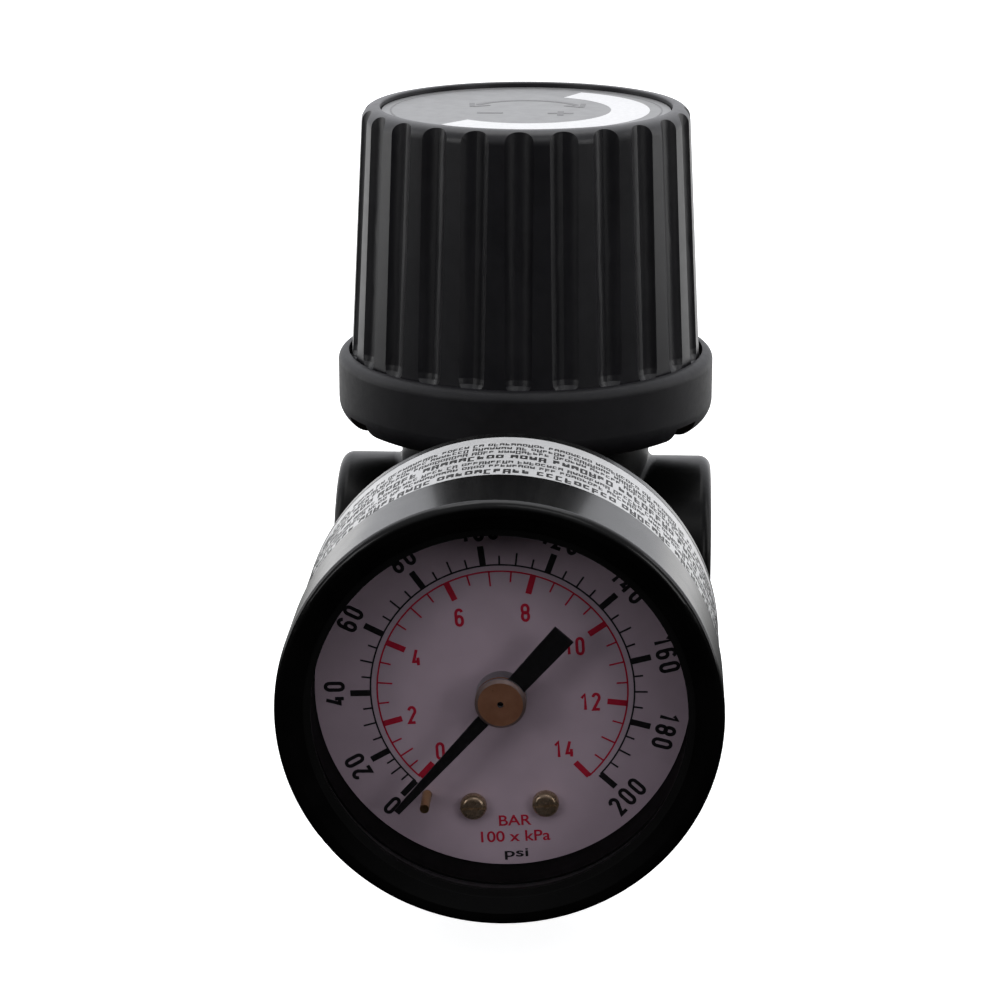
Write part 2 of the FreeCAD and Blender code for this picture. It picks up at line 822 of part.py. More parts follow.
def make_adjuster():
    body = new_body("adjusting_screw")
    hex_start = size.tower_top + size.loose_play
    revolve(body, "shank", [
        (0, size.screw_bottom),
        (size.screw_radius, size.screw_bottom),
        (size.screw_radius, size.screw_flange_bottom),
        (size.screw_flange_radius, size.screw_flange_bottom),
        (size.screw_flange_radius, size.screw_flange_top),
        (size.screw_radius, size.screw_flange_top),
        (size.screw_radius, hex_start),
        (0, hex_start),
    ])
    flats = outline_drawing(hexagon(size.screw_hex))
    extrude(body, "hex", flats, hex_start, size.screw_top - hex_start)
    turned("thrust_washer", disc_points(
        size.tower_screw_hole, size.washer_radius, size.screw_flange_top, size.tower_ceiling))
    nut = new_body("spring_nut")
    revolve(nut, "hat", [
        (size.nut_bore_radius, size.nut_hub_bottom),
        (size.nut_hub_radius, size.nut_hub_bottom),
        (size.nut_hub_radius, size.nut_seat),
        (size.nut_radius, size.nut_seat),
        (size.nut_radius, size.nut_top),
        (size.nut_bore_radius, size.nut_top),
    ])
    half = size.nut_key_width / 2
    inner = size.nut_hub_radius
    key = rectangle(inner, -half, size.nut_key_radius, half)
    pad = extrude(nut, "key", outline_drawing(key), size.nut_seat, size.nut_top - size.nut_seat)
    repeat_around(nut, "keys", [pad], 2)
    low = size.body_top + size.diaphragm_thickness + size.plate_thickness
    coil("range_spring", size.range_spring_radius, size.range_spring_wire,
         low, size.nut_seat, size.range_spring_turns)


# ---------------------------------------------------------------- knob


def make_knob():
    body = new_body("knob")
    revolve(body, "cap", [
        (0, size.label_floor),
        (size.label_recess_radius, size.label_floor),
        (size.label_recess_radius, size.knob_top),
        (size.knob_top_radius, size.knob_top),
        (size.knob_bottom_radius, size.knob_bottom),
        (size.knob_bottom_radius - size.knob_wall, size.knob_bottom),
        (size.knob_top_radius - size.knob_wall, size.knob_roof),
        (size.drive_boss_radius, size.knob_roof),
        (size.drive_boss_radius, size.drive_boss_bottom),
        (0, size.drive_boss_bottom),
    ])
    top = (0, 0, size.knob_top.value)
    soften(body, "top_round", [(size.knob_top_radius, top)], size.knob_edge_round)
    soften(body, "label_edge", [(size.label_recess_radius, top)], size.knob_label_edge_round)
    bottom = (0, 0, size.knob_bottom.value)
    soften(body, "bottom_round", [(size.knob_bottom_radius, bottom)], size.knob_foot_round)
    flats = outline_drawing(hexagon(size.screw_hex + size.drive_hex_clearance))
    extrude(body, "drive_hex", flats, size.drive_boss_bottom,
            size.knob_roof - size.drive_boss_bottom, True)
    cut_flutes(body)
    half = size.lock_rib_width / 2
    rib = rectangle(
        size.lock_rib_radius, -half, size.knob_bottom_radius - size.lock_rib_root, half)
    pad = extrude(body, "lock_rib", outline_drawing(rib), size.knob_bottom + size.lock_rib_start,
                  size.lock_rib_height)
    repeat_around(body, "lock_ribs", [pad], LOCK_RIBS)
    turned("knob_label", disc_points(
        0, size.label_radius, size.label_floor, size.label_floor + size.label_thickness))


def cut_flutes(body):
    """Finger grooves: round-bottomed cuts that lean with the side of the knob."""
    lean = (SIZES["knob_bottom_radius"] - SIZES["knob_top_radius"]) / (
        SIZES["knob_top"] - SIZES["knob_bottom"])
    rise = size.knob_top - size.flute_bottom + size.cut_overrun
    start_radius = size.knob_bottom_radius - (size.flute_bottom - size.knob_bottom) * lean
    sink = size.flute_radius - size.flute_depth
    low = (start_radius + sink, size.flute_bottom)
    high = (start_radius + sink - rise * lean, size.flute_bottom + rise)
    sketch = new_sketch(body, "flute", "XZ_Plane")
    outline = [low]
    for step in range(1, FLUTE_END_STEPS + 1):
        angle = math.pi / 2 * step / FLUTE_END_STEPS
        across = size.flute_radius * math.sin(angle)
        up = size.flute_radius * (1 - math.cos(angle))
        outline.append((low[0] - across, low[1] + up))
    outline.append((high[0] - size.flute_radius, high[1]))
    outline.append(high)
    add_outline(sketch, outline)
    axis_line = sketch.GeometryCount - 1
    groove = body.newObject("PartDesign::Groove", "knob_flute")
    groove.Profile = sketch
    groove.ReferenceAxis = (sketch, [f"Edge{axis_line + 1}"])
    groove.Angle = 360
    repeat_around(body, "flutes", [groove], FLUTES)


# ---------------------------------------------------------------- rear gauge port


def make_port_plug():
    placement = FreeCAD.Placement(
        FreeCAD.Vector(0, 0, size.gauge_height.value),
        FreeCAD.Rotation(FreeCAD.Vector(1, 0, 0), -90))
    body = new_body("gauge_port_plug", placement)
    start = size.gauge_boss_face - size.gauge_bore_depth + size.port_plug_gap
    end = size.gauge_boss_face - size.port_plug_recess
    extrude(body, "plug", circle_drawing(size.socket_thread_radius), start, end - start)
    flats = outline_drawing(hexagon(size.port_plug_key))
    depth = size.port_plug_key_depth
    extrude(body, "key_socket", flats, end - depth, depth, True)


# ---------------------------------------------------------------- gauge case


def case_screw_centre(side):
    return (side * size.case_screw_x, -size.case_screw_drop)


def make_gauge_case():
    body = new_body("gauge_case", gauge_frame)
    inner_back = size.case_back + size.case_wall
    label_floor = size.case_radius - size.case_label_depth
    revolve(body, "cup", [
        (size.socket_neck_radius + size.loose_play, size.case_back),
        (size.case_radius, size.case_back),
        (size.case_radius, size.case_label_start),
        (label_floor, size.case_label_start),
        (label_floor, size.case_label_end),
        (size.case_spigot_radius, size.case_label_end),
        (size.case_spigot_radius, size.case_front),
        (size.case_spigot_bore, size.case_front),
        (size.case_spigot_bore, size.case_label_end),
        (size.case_bore_radius, size.case_label_end - size.case_bore_taper),
        (size.case_bore_radius, inner_back),
        (size.socket_neck_radius + size.loose_play, inner_back),
    ])
    back = (0, 0, size.case_back.value)
    soften(body, "back_round", [(size.case_radius, back)], size.case_back_round)
    for number, side in enumerate((-1, 1)):
        hole = circle_drawing(size.case_screw_hole, case_screw_centre(side))
        extrude(body, f"screw_hole_{number}", hole, size.case_back, size.case_wall, True)
    play = size.case_label_play
    turned("case_label", disc_points(
        label_floor + play, size.case_radius - play,
        size.case_label_start + play, size.case_label_end - play), gauge_frame)


def make_bezel():
    body = new_body("bezel", gauge_frame)
    revolve(body, "ring", [
        (size.bezel_bore, size.bezel_start),
        (size.bezel_radius, size.bezel_start),
        (size.bezel_radius, size.bezel_front),
        (size.bezel_radius - size.bezel_face_width, size.bezel_front),
        (size.bezel_opening, size.bezel_front - size.bezel_face_slope),
        (size.bezel_opening, size.bezel_lip_back),
        (size.bezel_bore, size.bezel_lip_back),
    ])
    front = (0, 0, size.bezel_front.value)
    soften(body, "front_round", [(size.bezel_radius, front)], size.bezel_edge_round)
    turned("lens", disc_points(0, size.lens_radius, size.lens_back, size.bezel_lip_back),
           gauge_frame)
    turned("lens_gasket", disc_points(
        size.gasket_bore, size.lens_radius, size.case_front, size.lens_back), gauge_frame)


def make_gauge_socket():
    body = new_body("gauge_socket", gauge_frame)
    inner_back = size.case_back + size.case_wall
    revolve(body, "stem", [
        (0, size.socket_thread_end),
        (size.socket_thread_radius, size.socket_thread_end),
        (size.socket_thread_radius, size.socket_square_start),
        (size.socket_neck_radius, size.socket_square_start),
        (size.socket_neck_radius, inner_back),
        (0, inner_back),
    ])
    half = size.socket_square / 2
    square = outline_drawing(rectangle(-half, -half, half, half))
    length = size.socket_square_end - size.socket_square_start
    extrude(body, "wrench_square", square, size.socket_square_start, length)
    wide = size.block_half_width
    block = outline_drawing(rectangle(-wide, -size.block_low, wide, size.block_high))
    extrude(body, "block", block, inner_back, size.block_front - inner_back)
    passage = circle_drawing(size.socket_passage_radius)
    extrude(body, "passage", passage, size.socket_thread_end,
            inner_back - size.socket_thread_end + size.cut_overrun, True)
    for number, side in enumerate((-1, 1)):
        hole = circle_drawing(size.case_screw_thread_hole, case_screw_centre(side))
        extrude(body, f"screw_hole_{number}", hole, inner_back, size.case_screw_hole_depth, True)


def pan_screw(body, name, centre, head_face, towards, head, shank):
    """A screw: its head rises from head_face, its shank runs the other way.

    towards is 1 when the head is on the viewer's side of head_face, and -1 behind it.
    head is (radius, height) and shank is (radius, length).
    """
    head_start = head_face if towards > 0 else head_face - head[1]
    shank_start = head_face - shank[1] if towards > 0 else head_face
    top = extrude(body, f"{name}_head", circle_drawing(head[0], centre), head_start, head[1])
    stem = extrude(body, f"{name}_shank", circle_drawing(shank[0], centre), shank_start, shank[1])
    return [top, stem]


def screw_slot(body, name, centre, width, half_length, start, depth):
    x, y = centre
    shape = rectangle(x - half_length, y - width / 2, x + half_length, y + width / 2)
    return extrude(body, name, outline_drawing(shape), start, depth, True)


def make_case_screws():
    body = new_body("case_screws", gauge_frame)
    for number, side in enumerate((-1, 1)):
        centre = case_screw_centre(side)
        head = size.case_screw_head_height
        pan_screw(body, f"screw_{number}", centre, size.case_back, -1,
                  (size.case_screw_head_radius, head),
                  (size.case_screw_shank, size.case_screw_length))
        screw_slot(body, f"slot_{number}", centre, size.screw_slot_width,
                   size.case_screw_head_radius, size.case_back - head, size.screw_slot_depth)


# ---------------------------------------------------------------- dial side


def dial_screw_centres():
    return [(side * size.dial_screw_x, -size.dial_screw_drop) for side in (-1, 1)]


def polar(radius, degrees):
    """A point at a radius and an angle, the radius kept bound to its cell."""
    angle = math.radians(degrees)
    return (radius * math.cos(angle), radius * math.sin(angle))


def make_dial():
    body = new_body("dial", gauge_frame)
    thickness = size.dial_front - size.dial_back
    extrude(body, "plate", circle_drawing(size.dial_radius), size.dial_back, thickness)
    extrude(body, "centre_hole", circle_drawing(size.dial_hole), size.dial_back, thickness, True)
    for number, centre in enumerate(dial_screw_centres()):
        hole = circle_drawing(size.dial_screw_shank + size.running_play, centre)
        extrude(body, f"screw_hole_{number}", hole, size.dial_back, thickness, True)
    pin_centre = polar(size.stop_pin_orbit, SIZES["stop_pin_angle"])
    hole = circle_drawing(size.stop_pin_radius + size.close_play, pin_centre)
    extrude(body, "pin_hole", hole, size.dial_back, thickness, True)
    screws = new_body("dial_screws", gauge_frame)
    for number, centre in enumerate(dial_screw_centres()):
        pan_screw(screws, f"screw_{number}", centre, size.dial_front, 1,
                  (size.dial_screw_head_radius, size.dial_screw_head_height),
                  (size.dial_screw_shank, size.dial_screw_length))
    doc.recompute()
    rims = [(size.dial_screw_head_radius,
             (x.value, y.value, size.dial_front.value + SIZES["dial_screw_head_height"]))
            for x, y in dial_screw_centres()]
    soften(screws, "domes", rims, size.dial_screw_head_height * 0.6)
    for number, centre in enumerate(dial_screw_centres()):
        slot_floor = size.dial_front + size.dial_screw_head_height - size.dial_slot_depth
        screw_slot(screws, f"slot_{number}", centre, size.dial_slot_width,
                   size.dial_screw_head_radius + size.dial_slot_width, slot_floor,
                   size.dial_slot_depth * 2)
    pin = new_body("stop_pin", gauge_frame)
    extrude(pin, "rod", circle_drawing(size.stop_pin_radius, pin_centre), size.dial_back,
            size.stop_pin_front - size.dial_back)


def make_pointer():
    turn = FreeCAD.Placement(
        FreeCAD.Vector(0, 0, 0),
        FreeCAD.Rotation(FreeCAD.Vector(0, 0, 1), SIZES["zero_angle"]))
    body = new_body("pointer", gauge_frame * turn)
    blade = [
        (-size.pointer_tail, -size.tail_end_width / 2),
        (0, -size.tail_root_width / 2),
        (size.hub_radius, -size.pointer_root_width / 2),
        (size.pointer_length, -size.pointer_tip_width / 2),
        (size.pointer_length, size.pointer_tip_width / 2),
        (size.hub_radius, size.pointer_root_width / 2),
        (0, size.tail_root_width / 2),
        (-size.pointer_tail, size.tail_end_width / 2),
    ]
    extrude(body, "blade", outline_drawing(blade), size.pointer_back, size.pointer_thickness)
    extrude(body, "eye", circle_drawing(size.hub_neck_radius + size.pointer_eye_rim), size.pointer_back,
            size.pointer_thickness)
    extrude(body, "hole", circle_drawing(size.hub_neck_radius), size.pointer_back,
            size.pointer_thickness, True)
    cap_back = size.pointer_back + size.pointer_thickness
    bore_end = size.arbor_front + size.hub_bore_play
    turned("pointer_hub", [
        (size.hub_bore_radius, size.hub_back),
        (size.hub_radius, size.hub_back),
        (size.hub_radius, size.pointer_back),
        (size.hub_neck_radius, size.pointer_back),
        (size.hub_neck_radius, cap_back),
        (size.hub_radius, cap_back),
        (size.hub_radius, size.hub_front - size.hub_chamfer),
        (size.hub_radius - size.hub_chamfer, size.hub_front),
        (size.hub_dimple_radius, size.hub_front),
        (size.hub_dimple_radius, bore_end),
        (size.hub_bore_radius, bore_end),
    ], gauge_frame)


# ---------------------------------------------------------------- movement


def movement_outline():
    wide = size.movement_half_width
    return outline_drawing(rectangle(-wide, -size.movement_low, wide, size.movement_high))


def pivot_centre():
    """The sector's pivot, straight below the gauge axis."""
    teeth = size.pinion_teeth + size.sector_ring_teeth
    return (0, -(size.gear_module * teeth / 2 + GEAR_PLAY))


def make_plates():
    back = new_body("movement_back_plate", gauge_frame)
    extrude(back, "plate", movement_outline(), size.plate_back_start, size.movement_plate)
    front = new_body("movement_front_plate", gauge_frame)
    extrude(front, "plate", movement_outline(), size.plate_front_start, size.movement_plate)
    clearance = size.plate_hole_clearance
    pivots = ((0, 0), pivot_centre())
    for number, centre in enumerate(pivots):
        hole = circle_drawing(size.arbor_radius + clearance, centre)
        extrude(front, f"pivot_{number}", hole, size.plate_front_start, size.movement_plate, True)
        extrude(back, f"pivot_{number}", hole, size.plate_back_start + size.pivot_floor,
                size.movement_plate - size.pivot_floor, True)
    pillars = new_body("movement_pillars", gauge_frame)
    start = size.plate_back_start + size.movement_plate
    for number, centre in enumerate(PILLARS):
        extrude(pillars, f"pillar_{number}", circle_drawing(size.pillar_radius, centre), start,
                size.plate_front_start - start)
    screws = new_body("movement_screws", gauge_frame)
    face = size.plate_front_start + size.movement_plate
    for number, centre in enumerate(PILLARS):
        head = circle_drawing(size.pillar_radius + size.movement_screw_rim, centre)
        extrude(screws, f"head_{number}", head, face, size.movement_screw_height)
        slot_floor = face + size.movement_screw_height - size.movement_slot_depth
        screw_slot(screws, f"slot_{number}", centre, size.dial_slot_width,
                   size.pillar_radius + size.dial_slot_width, slot_floor,
                   size.movement_slot_depth)
    posts = new_body("dial_posts", gauge_frame)
    for number, centre in enumerate(dial_screw_centres()):
        extrude(posts, f"post_{number}", circle_drawing(size.pillar_radius, centre), face,
                size.dial_back - face)
        tapped = circle_drawing(size.dial_screw_shank + size.close_play, centre)
        start = face + size.post_floor
        extrude(posts, f"tap_{number}", tapped, start, size.dial_back - start, True)


def tooth_outline(pitch_radius, pinion):
    """One straight-sided gear tooth pointing along +X from the root to the tip."""
    module = size.gear_module
    root = pitch_radius - module * TOOTH_ROOT
    tip = pitch_radius + module * TOOTH_TIP
    base = module * (PINION_TOOTH_BASE if pinion else SECTOR_TOOTH_BASE)
    point = module * TOOTH_POINT
    return [(root, -base), (tip, -point), (tip, point), (root, base)]


def make_pinion():
    turn = FreeCAD.Placement(
        FreeCAD.Vector(0, 0, 0), FreeCAD.Rotation(FreeCAD.Vector(0, 0, 1), -90))
    body = new_body("pinion", gauge_frame * turn)
    pitch = size.gear_module * size.pinion_teeth / 2
    extrude(body, "arbor", circle_drawing(size.arbor_radius), size.arbor_back,
            size.arbor_front - size.arbor_back)
    extrude(body, "rim", circle_drawing(pitch - size.gear_module * RIM_DEPTH),
            size.gear_start - size.loose_play, size.pinion_thickness)
    tooth = extrude(body, "tooth", outline_drawing(tooth_outline(pitch, True)),
                    size.gear_start - size.loose_play, size.pinion_thickness)
    repeat_around(body, "teeth", [tooth], SIZES["pinion_teeth"])


def make_sector():
    """Sector gear, drawn with its middle tooth along +X and turned to its rest angle."""
    x, y = pivot_centre()
    tooth_angle = 360 / SIZES["sector_ring_teeth"]
    rest_angle = 90 - TEETH_BEFORE_REST * tooth_angle
    place = FreeCAD.Placement(
        FreeCAD.Vector(x, y.value, 0),
        FreeCAD.Rotation(FreeCAD.Vector(0, 0, 1), rest_angle))
    body = new_body("sector_gear", gauge_frame * place)
    pitch = size.gear_module * size.sector_ring_teeth / 2
    root = pitch - size.gear_module * RIM_DEPTH
    half_span = tooth_angle * SIZES["sector_teeth"] / 2
    inner = root - size.sector_rim
    rim = [polar(inner, -half_span), polar(root, -half_span)]
    rim += [polar(root, half_span * (step / RIM_STEPS - 1)) for step in range(1, 2 * RIM_STEPS)]
    rim += [polar(root, half_span), polar(inner, half_span)]
    rim += [polar(inner, half_span * (1 - step / RIM_STEPS)) for step in range(1, 2 * RIM_STEPS)]
    thick = size.sector_thickness
    extrude(body, "rim", outline_drawing(rim), size.gear_start, thick)
    half = size.sector_arm_half_width
    arm = rectangle(-size.sector_tail, -half, inner + half, half)
    extrude(body, "arm", outline_drawing(arm), size.gear_start, thick)
    extrude(body, "hub", circle_drawing(size.sector_hub_radius), size.gear_start, thick)
    tail = (-size.sector_tail, 0)
    extrude(body, "eye", circle_drawing(size.sector_eye_radius, tail), size.gear_start, thick)
    extrude(body, "arbor", circle_drawing(size.arbor_radius), size.arbor_back,
            size.plate_front_start + size.movement_plate - size.arbor_back)
    pin_length = size.link_start + size.link_thickness + size.tail_pin_stand - size.gear_start
    extrude(body, "tail_pin", circle_drawing(size.tail_pin_radius, tail), size.gear_start,
            pin_length)
    turn_back = polar_tooth(pitch, -tooth_angle * (SIZES["sector_teeth"] // 2))
    tooth = extrude(body, "tooth", outline_drawing(turn_back), size.gear_start, thick)
    span = tooth_angle * (SIZES["sector_teeth"] - 1)
    repeat_around(body, "teeth", [tooth], SIZES["sector_teeth"], span)
    return rest_angle


def polar_tooth(pitch_radius, degrees):
    """The sector's tooth outline turned about the pivot."""
    angle = math.radians(degrees)
    turned_points = []
    for x, y in tooth_outline(pitch_radius, False):
        turned_points.append((
            x * math.cos(angle) - y * math.sin(angle),
            x * math.sin(angle) + y * math.cos(angle)))
    return turned_points


def tail_pin_place(rest_angle):
    x, y = pivot_centre()
    angle = math.radians(rest_angle + 180)
    reach = SIZES["sector_tail"]
    return (reach * math.cos(angle), y.value + reach * math.sin(angle))


def tube_end_place():
    x, y = polar(size.tube_orbit, SIZES["tube_end_angle"])
    return (x.value, y.value)


def make_link(rest_angle):
    """Flat link from the sector's tail pin to the free end of the tube."""
    start = tail_pin_place(rest_angle)
    end = tube_end_place()
    reach = math.hypot(end[0] - start[0], end[1] - start[1])
    heading = math.degrees(math.atan2(end[1] - start[1], end[0] - start[0]))
    place = FreeCAD.Placement(
        FreeCAD.Vector(start[0], start[1], 0),
        FreeCAD.Rotation(FreeCAD.Vector(0, 0, 1), heading))
    body = new_body("link", gauge_frame * place)
    thick = size.link_thickness
    half = size.link_half_width
    bar = rectangle(0, -size.link_bar_half_width, reach, size.link_bar_half_width)
    extrude(body, "bar", outline_drawing(bar), size.link_start, thick)
    for number, x in enumerate((0, reach)):
        extrude(body, f"eye_{number}", circle_drawing(half, (x, 0)), size.link_start, thick)
    hole = circle_drawing(size.tail_pin_radius + size.link_play)
    extrude(body, "pin_hole", hole, size.link_start, thick, True)


def make_bourdon_tube():
    turn = FreeCAD.Placement(
        FreeCAD.Vector(0, 0, 0),
        FreeCAD.Rotation(FreeCAD.Vector(0, 0, 1), SIZES["tube_end_angle"]))
    body = new_body("bourdon_tube", gauge_frame * turn)
    sketch = new_sketch(body, "section", "XZ_Plane")
    add_outline(sketch, tube_section(size.tube_half_thickness, size.tube_back, size.tube_front))
    wall = size.tube_wall
    add_outline(sketch, tube_section(
        size.tube_half_thickness - wall, size.tube_back + wall, size.tube_front - wall))
    ring = body.newObject("PartDesign::Revolution", "bourdon_tube_ring")
    ring.Profile = sketch
    ring.ReferenceAxis = (sketch, ["V_Axis"])
    ring.Angle = 360 - SIZES["tube_end_angle"] + SIZES["tube_start_angle"]
    tip = new_body("tube_tip", gauge_frame * turn)
    half = size.tube_half_thickness + size.tip_cap_wall
    orbit = size.tube_orbit
    cap = rectangle(orbit - half, -size.tip_cap_length, orbit + half, -size.close_play)
    extrude(tip, "cap", outline_drawing(cap), size.tube_back, size.tube_front - size.tube_back)
    lug = circle_drawing(size.tip_lug_radius, (orbit, -size.tip_lug_set_back))
    extrude(tip, "lug", lug, size.tube_front,
            size.link_start - size.running_play - size.tube_front)


def tube_section(half, back, front):
    """Flattened tube section, its corners cut off."""
    orbit = size.tube_orbit
    corner = half * TUBE_CORNER
    return [
        (orbit - half, back + corner),
        (orbit - half + corner, back),
        (orbit + half - corner, back),
        (orbit + half, back + corner),
        (orbit + half, front - corner),
        (orbit + half - corner, front),
        (orbit - half + corner, front),
        (orbit - half, front - corner),
    ]


def make_hairspring():
    """A flat spiral strip: half circles of growing radius, joined end to end."""
    gap = SIZES["hairspring_gap"]
    strip = SIZES["hairspring_strip"]
    inner = SIZES["hairspring_inner"]
    turns = SIZES["hairspring_turns"]
    edges = []
    for side in (0, strip):
        radius = inner + side
        centre = 0
        direction = 1
        arcs = []
        for half_turn in range(2 * turns):
            left = FreeCAD.Vector(centre + direction * radius, 0, 0)
            top = FreeCAD.Vector(centre, direction * radius, 0)
            right = FreeCAD.Vector(centre - direction * radius, 0, 0)
            arcs.append(Part.Arc(left, top, right).toShape())
            radius += gap / 2
            centre += direction * gap / 2
            direction = -direction
        edges.append(arcs)
    outer_arcs, inner_arcs = edges[1], edges[0]
    ends = []
    for index, corner in ((0, 0), (-1, -1)):
        first = inner_arcs[index].Vertexes[corner].Point
        second = outer_arcs[index].Vertexes[corner].Point
        ends.append(Part.LineSegment(first, second).toShape())
    wire = Part.Wire(Part.__sortEdges__(inner_arcs + outer_arcs + ends))
    solid = Part.Face(wire).extrude(FreeCAD.Vector(0, 0, SIZES["hairspring_height"]))
    feature = doc.addObject("Part::Feature", "hairspring")
    feature.Label = "hairspring"
    feature.Shape = solid
    lift = FreeCAD.Placement(
        FreeCAD.Vector(0, 0, SIZES["hairspring_start"]), FreeCAD.Rotation())
    feature.Placement = gauge_frame * lift


def make_model():
    make_body()
    make_bottom_plug()
    make_plug_o_ring()
    make_valve()
    make_diaphragm_stack()
    make_bonnet()
    make_adjuster()
    make_knob()
    make_port_plug()
    make_gauge_case()
    make_bezel()
    make_gauge_socket()
    make_case_screws()
    make_dial()
    make_pointer()
    make_plates()
    make_pinion()
    rest_angle = make_sector()
    make_link(rest_angle)
    make_bourdon_tube()
    make_hairspring()


def sub_parts():
    kinds = ("PartDesign::Body", "Part::Torus", "Part::Feature")
    return [item for item in doc.Objects if item.TypeId in kinds]


def check_document():
    failed = []
    for item in doc.Objects:
        if "Invalid" in item.State or "Error" in item.State:
            failed.append(f"{item.Name} {item.State}")
    for item in sub_parts():
        if item.Shape.isNull() or not item.Shape.isValid():
            failed.append(f"{item.Label} has no valid shape")
    if failed:
        raise RuntimeError("; ".join(failed))


def write_parts():
    os.makedirs("parts", exist_ok=True)
    for item in sub_parts():
        item.Shape.exportStep(f"parts/{item.Label}.step")
        box = item.Shape.BoundBox
        print(f"{item.Label}: {len(item.Shape.Solids)} solids, volume {item.Shape.Volume:.2f}, "
              f"z {box.ZMin:.2f} to {box.ZMax:.2f}")


make_model()
doc.recompute()
check_document()
write_parts()
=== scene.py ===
import json
import math
import random

import bmesh
import bpy
from mathutils import Matrix, Vector


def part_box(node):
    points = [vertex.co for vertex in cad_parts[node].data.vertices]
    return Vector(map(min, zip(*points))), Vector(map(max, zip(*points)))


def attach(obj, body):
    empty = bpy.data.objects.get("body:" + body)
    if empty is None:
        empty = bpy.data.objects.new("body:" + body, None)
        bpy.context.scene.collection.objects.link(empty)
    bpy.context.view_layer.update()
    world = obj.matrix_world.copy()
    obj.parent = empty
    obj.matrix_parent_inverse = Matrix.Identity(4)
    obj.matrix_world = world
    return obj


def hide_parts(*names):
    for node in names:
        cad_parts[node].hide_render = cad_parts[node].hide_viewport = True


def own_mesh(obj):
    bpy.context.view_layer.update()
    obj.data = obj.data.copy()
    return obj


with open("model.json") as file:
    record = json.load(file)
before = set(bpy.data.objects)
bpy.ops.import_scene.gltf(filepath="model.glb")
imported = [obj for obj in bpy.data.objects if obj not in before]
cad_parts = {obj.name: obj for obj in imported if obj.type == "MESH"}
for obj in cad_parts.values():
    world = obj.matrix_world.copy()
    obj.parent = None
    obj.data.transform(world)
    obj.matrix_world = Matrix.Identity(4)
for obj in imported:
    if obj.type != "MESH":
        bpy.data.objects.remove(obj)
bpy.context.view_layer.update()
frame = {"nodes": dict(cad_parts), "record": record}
nodes = frame["nodes"]

MM = 0.001
GAUGE_ROLL = math.radians(3.5)
PORT = next(mount for mount in frame["record"]["mounts"] if mount["name"] == "outlet_port")
PORT_HEIGHT = PORT["pos_m"][2]
PORT_RADIUS = PORT["dims"]["r_mm"]


# ------------------------------------------------------------------ places read from the frame


def middle(node):
    low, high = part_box(node)
    return (low + high) / 2


GAUGE_HEIGHT = middle("bezel").z
DIAL_FRONT = -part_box("dial")[0].y
# Enamel nearer the gauge axis than this is inside the cup
CUP_INSIDE_RADIUS = 18.4 * MM
LABEL_LOW, LABEL_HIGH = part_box("case_label")
LABEL_RADIUS = (LABEL_HIGH.x - LABEL_LOW.x) / 2
BADGE_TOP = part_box("knob_label")[1].z

# Gauge frame: x to the right and y up on the dial, z from the knob axis towards the viewer.
GAUGE = (
    Matrix.Translation((0, 0, GAUGE_HEIGHT))
    @ Matrix.Rotation(math.radians(90), 4, "X")
    @ Matrix.Rotation(GAUGE_ROLL, 4, "Z")
)


# ------------------------------------------------------------------ materials


class Surface:
    """A Principled material with helpers for procedural colour, roughness and bump."""

    def __init__(self, name, **sockets):
        self.material = bpy.data.materials.new(name)
        self.material.use_nodes = True
        self.tree = self.material.node_tree
        self.shader = self.tree.nodes["Principled BSDF"]
        for socket, value in sockets.items():
            self.shader.inputs[socket.replace("_", " ")].default_value = value
        self.place = self.add("ShaderNodeTexCoord").outputs["Object"]

    def add(self, kind, **settings):
        node = self.tree.nodes.new(kind)
        for key, value in settings.items():
            setattr(node, key, value)
        return node

    def link(self, output, target):
        self.tree.links.new(output, target)

    def stretched(self, scale):
        """Object coordinates scaled along each axis, for marks that run one way."""
        mapping = self.add("ShaderNodeMapping")
        mapping.inputs["Scale"].default_value = scale
        self.link(self.place, mapping.inputs["Vector"])
        return mapping.outputs["Vector"]

    def noise(self, scale, detail=3, roughness=0.55, vector=None):
        node = self.add("ShaderNodeTexNoise")
        node.inputs["Scale"].default_value = scale
        node.inputs["Detail"].default_value = detail
        node.inputs["Roughness"].default_value = roughness
        self.link(vector or self.place, node.inputs["Vector"])
        return node.outputs["Fac"]

    def mottle(self, source, dark, light, light_from=0.7):
        """Dark where the source is low, light where it is high, and a blend between."""
        node = self.add("ShaderNodeValToRGB")
        stops = ((0.3, dark), (light_from, light))
        for element, (position, colour) in zip(node.color_ramp.elements, stops):
            element.position = position
            element.color = (*colour, 1)
        self.link(source, node.inputs["Fac"])
        return node.outputs["Color"]

    def colour(self, source, dark, light, light_from=0.7):
        self.link(self.mottle(source, dark, light, light_from), self.shader.inputs["Base Color"])

    def mapped(self, source, low, high, start=0, end=1, **settings):
        """A value that runs from start to end, spread between low and high."""
        node = self.add("ShaderNodeMapRange", **settings)
        node.inputs["From Min"].default_value = start
        node.inputs["From Max"].default_value = end
        node.inputs["To Min"].default_value = low
        node.inputs["To Max"].default_value = high
        self.link(source, node.inputs["Value"])
        return node.outputs["Result"]

    def blended(self, factor, first, second, **settings):
        """The first value where the factor is 0, the second where it is 1."""
        node = self.add("ShaderNodeMix", **settings)
        self.link(factor, node.inputs["Factor"])
        self.link(first, node.inputs["A"])
        self.link(second, node.inputs["B"])
        return node.outputs["Result"]

    def roughness(self, source, low, high):
        self.link(self.mapped(source, low, high), self.shader.inputs["Roughness"])

    def bump(self, source, distance, strength):
        """Adds a bump on top of any bump that is already there."""
        node = self.add("ShaderNodeBump")
        node.inputs["Distance"].default_value = distance
        node.inputs["Strength"].default_value = strength
        self.link(source, node.inputs["Height"])
        previous = self.shader.inputs["Normal"].links
        if previous:
            self.link(previous[0].from_socket, node.inputs["Normal"])
        self.link(node.outputs["Normal"], self.shader.inputs["Normal"])


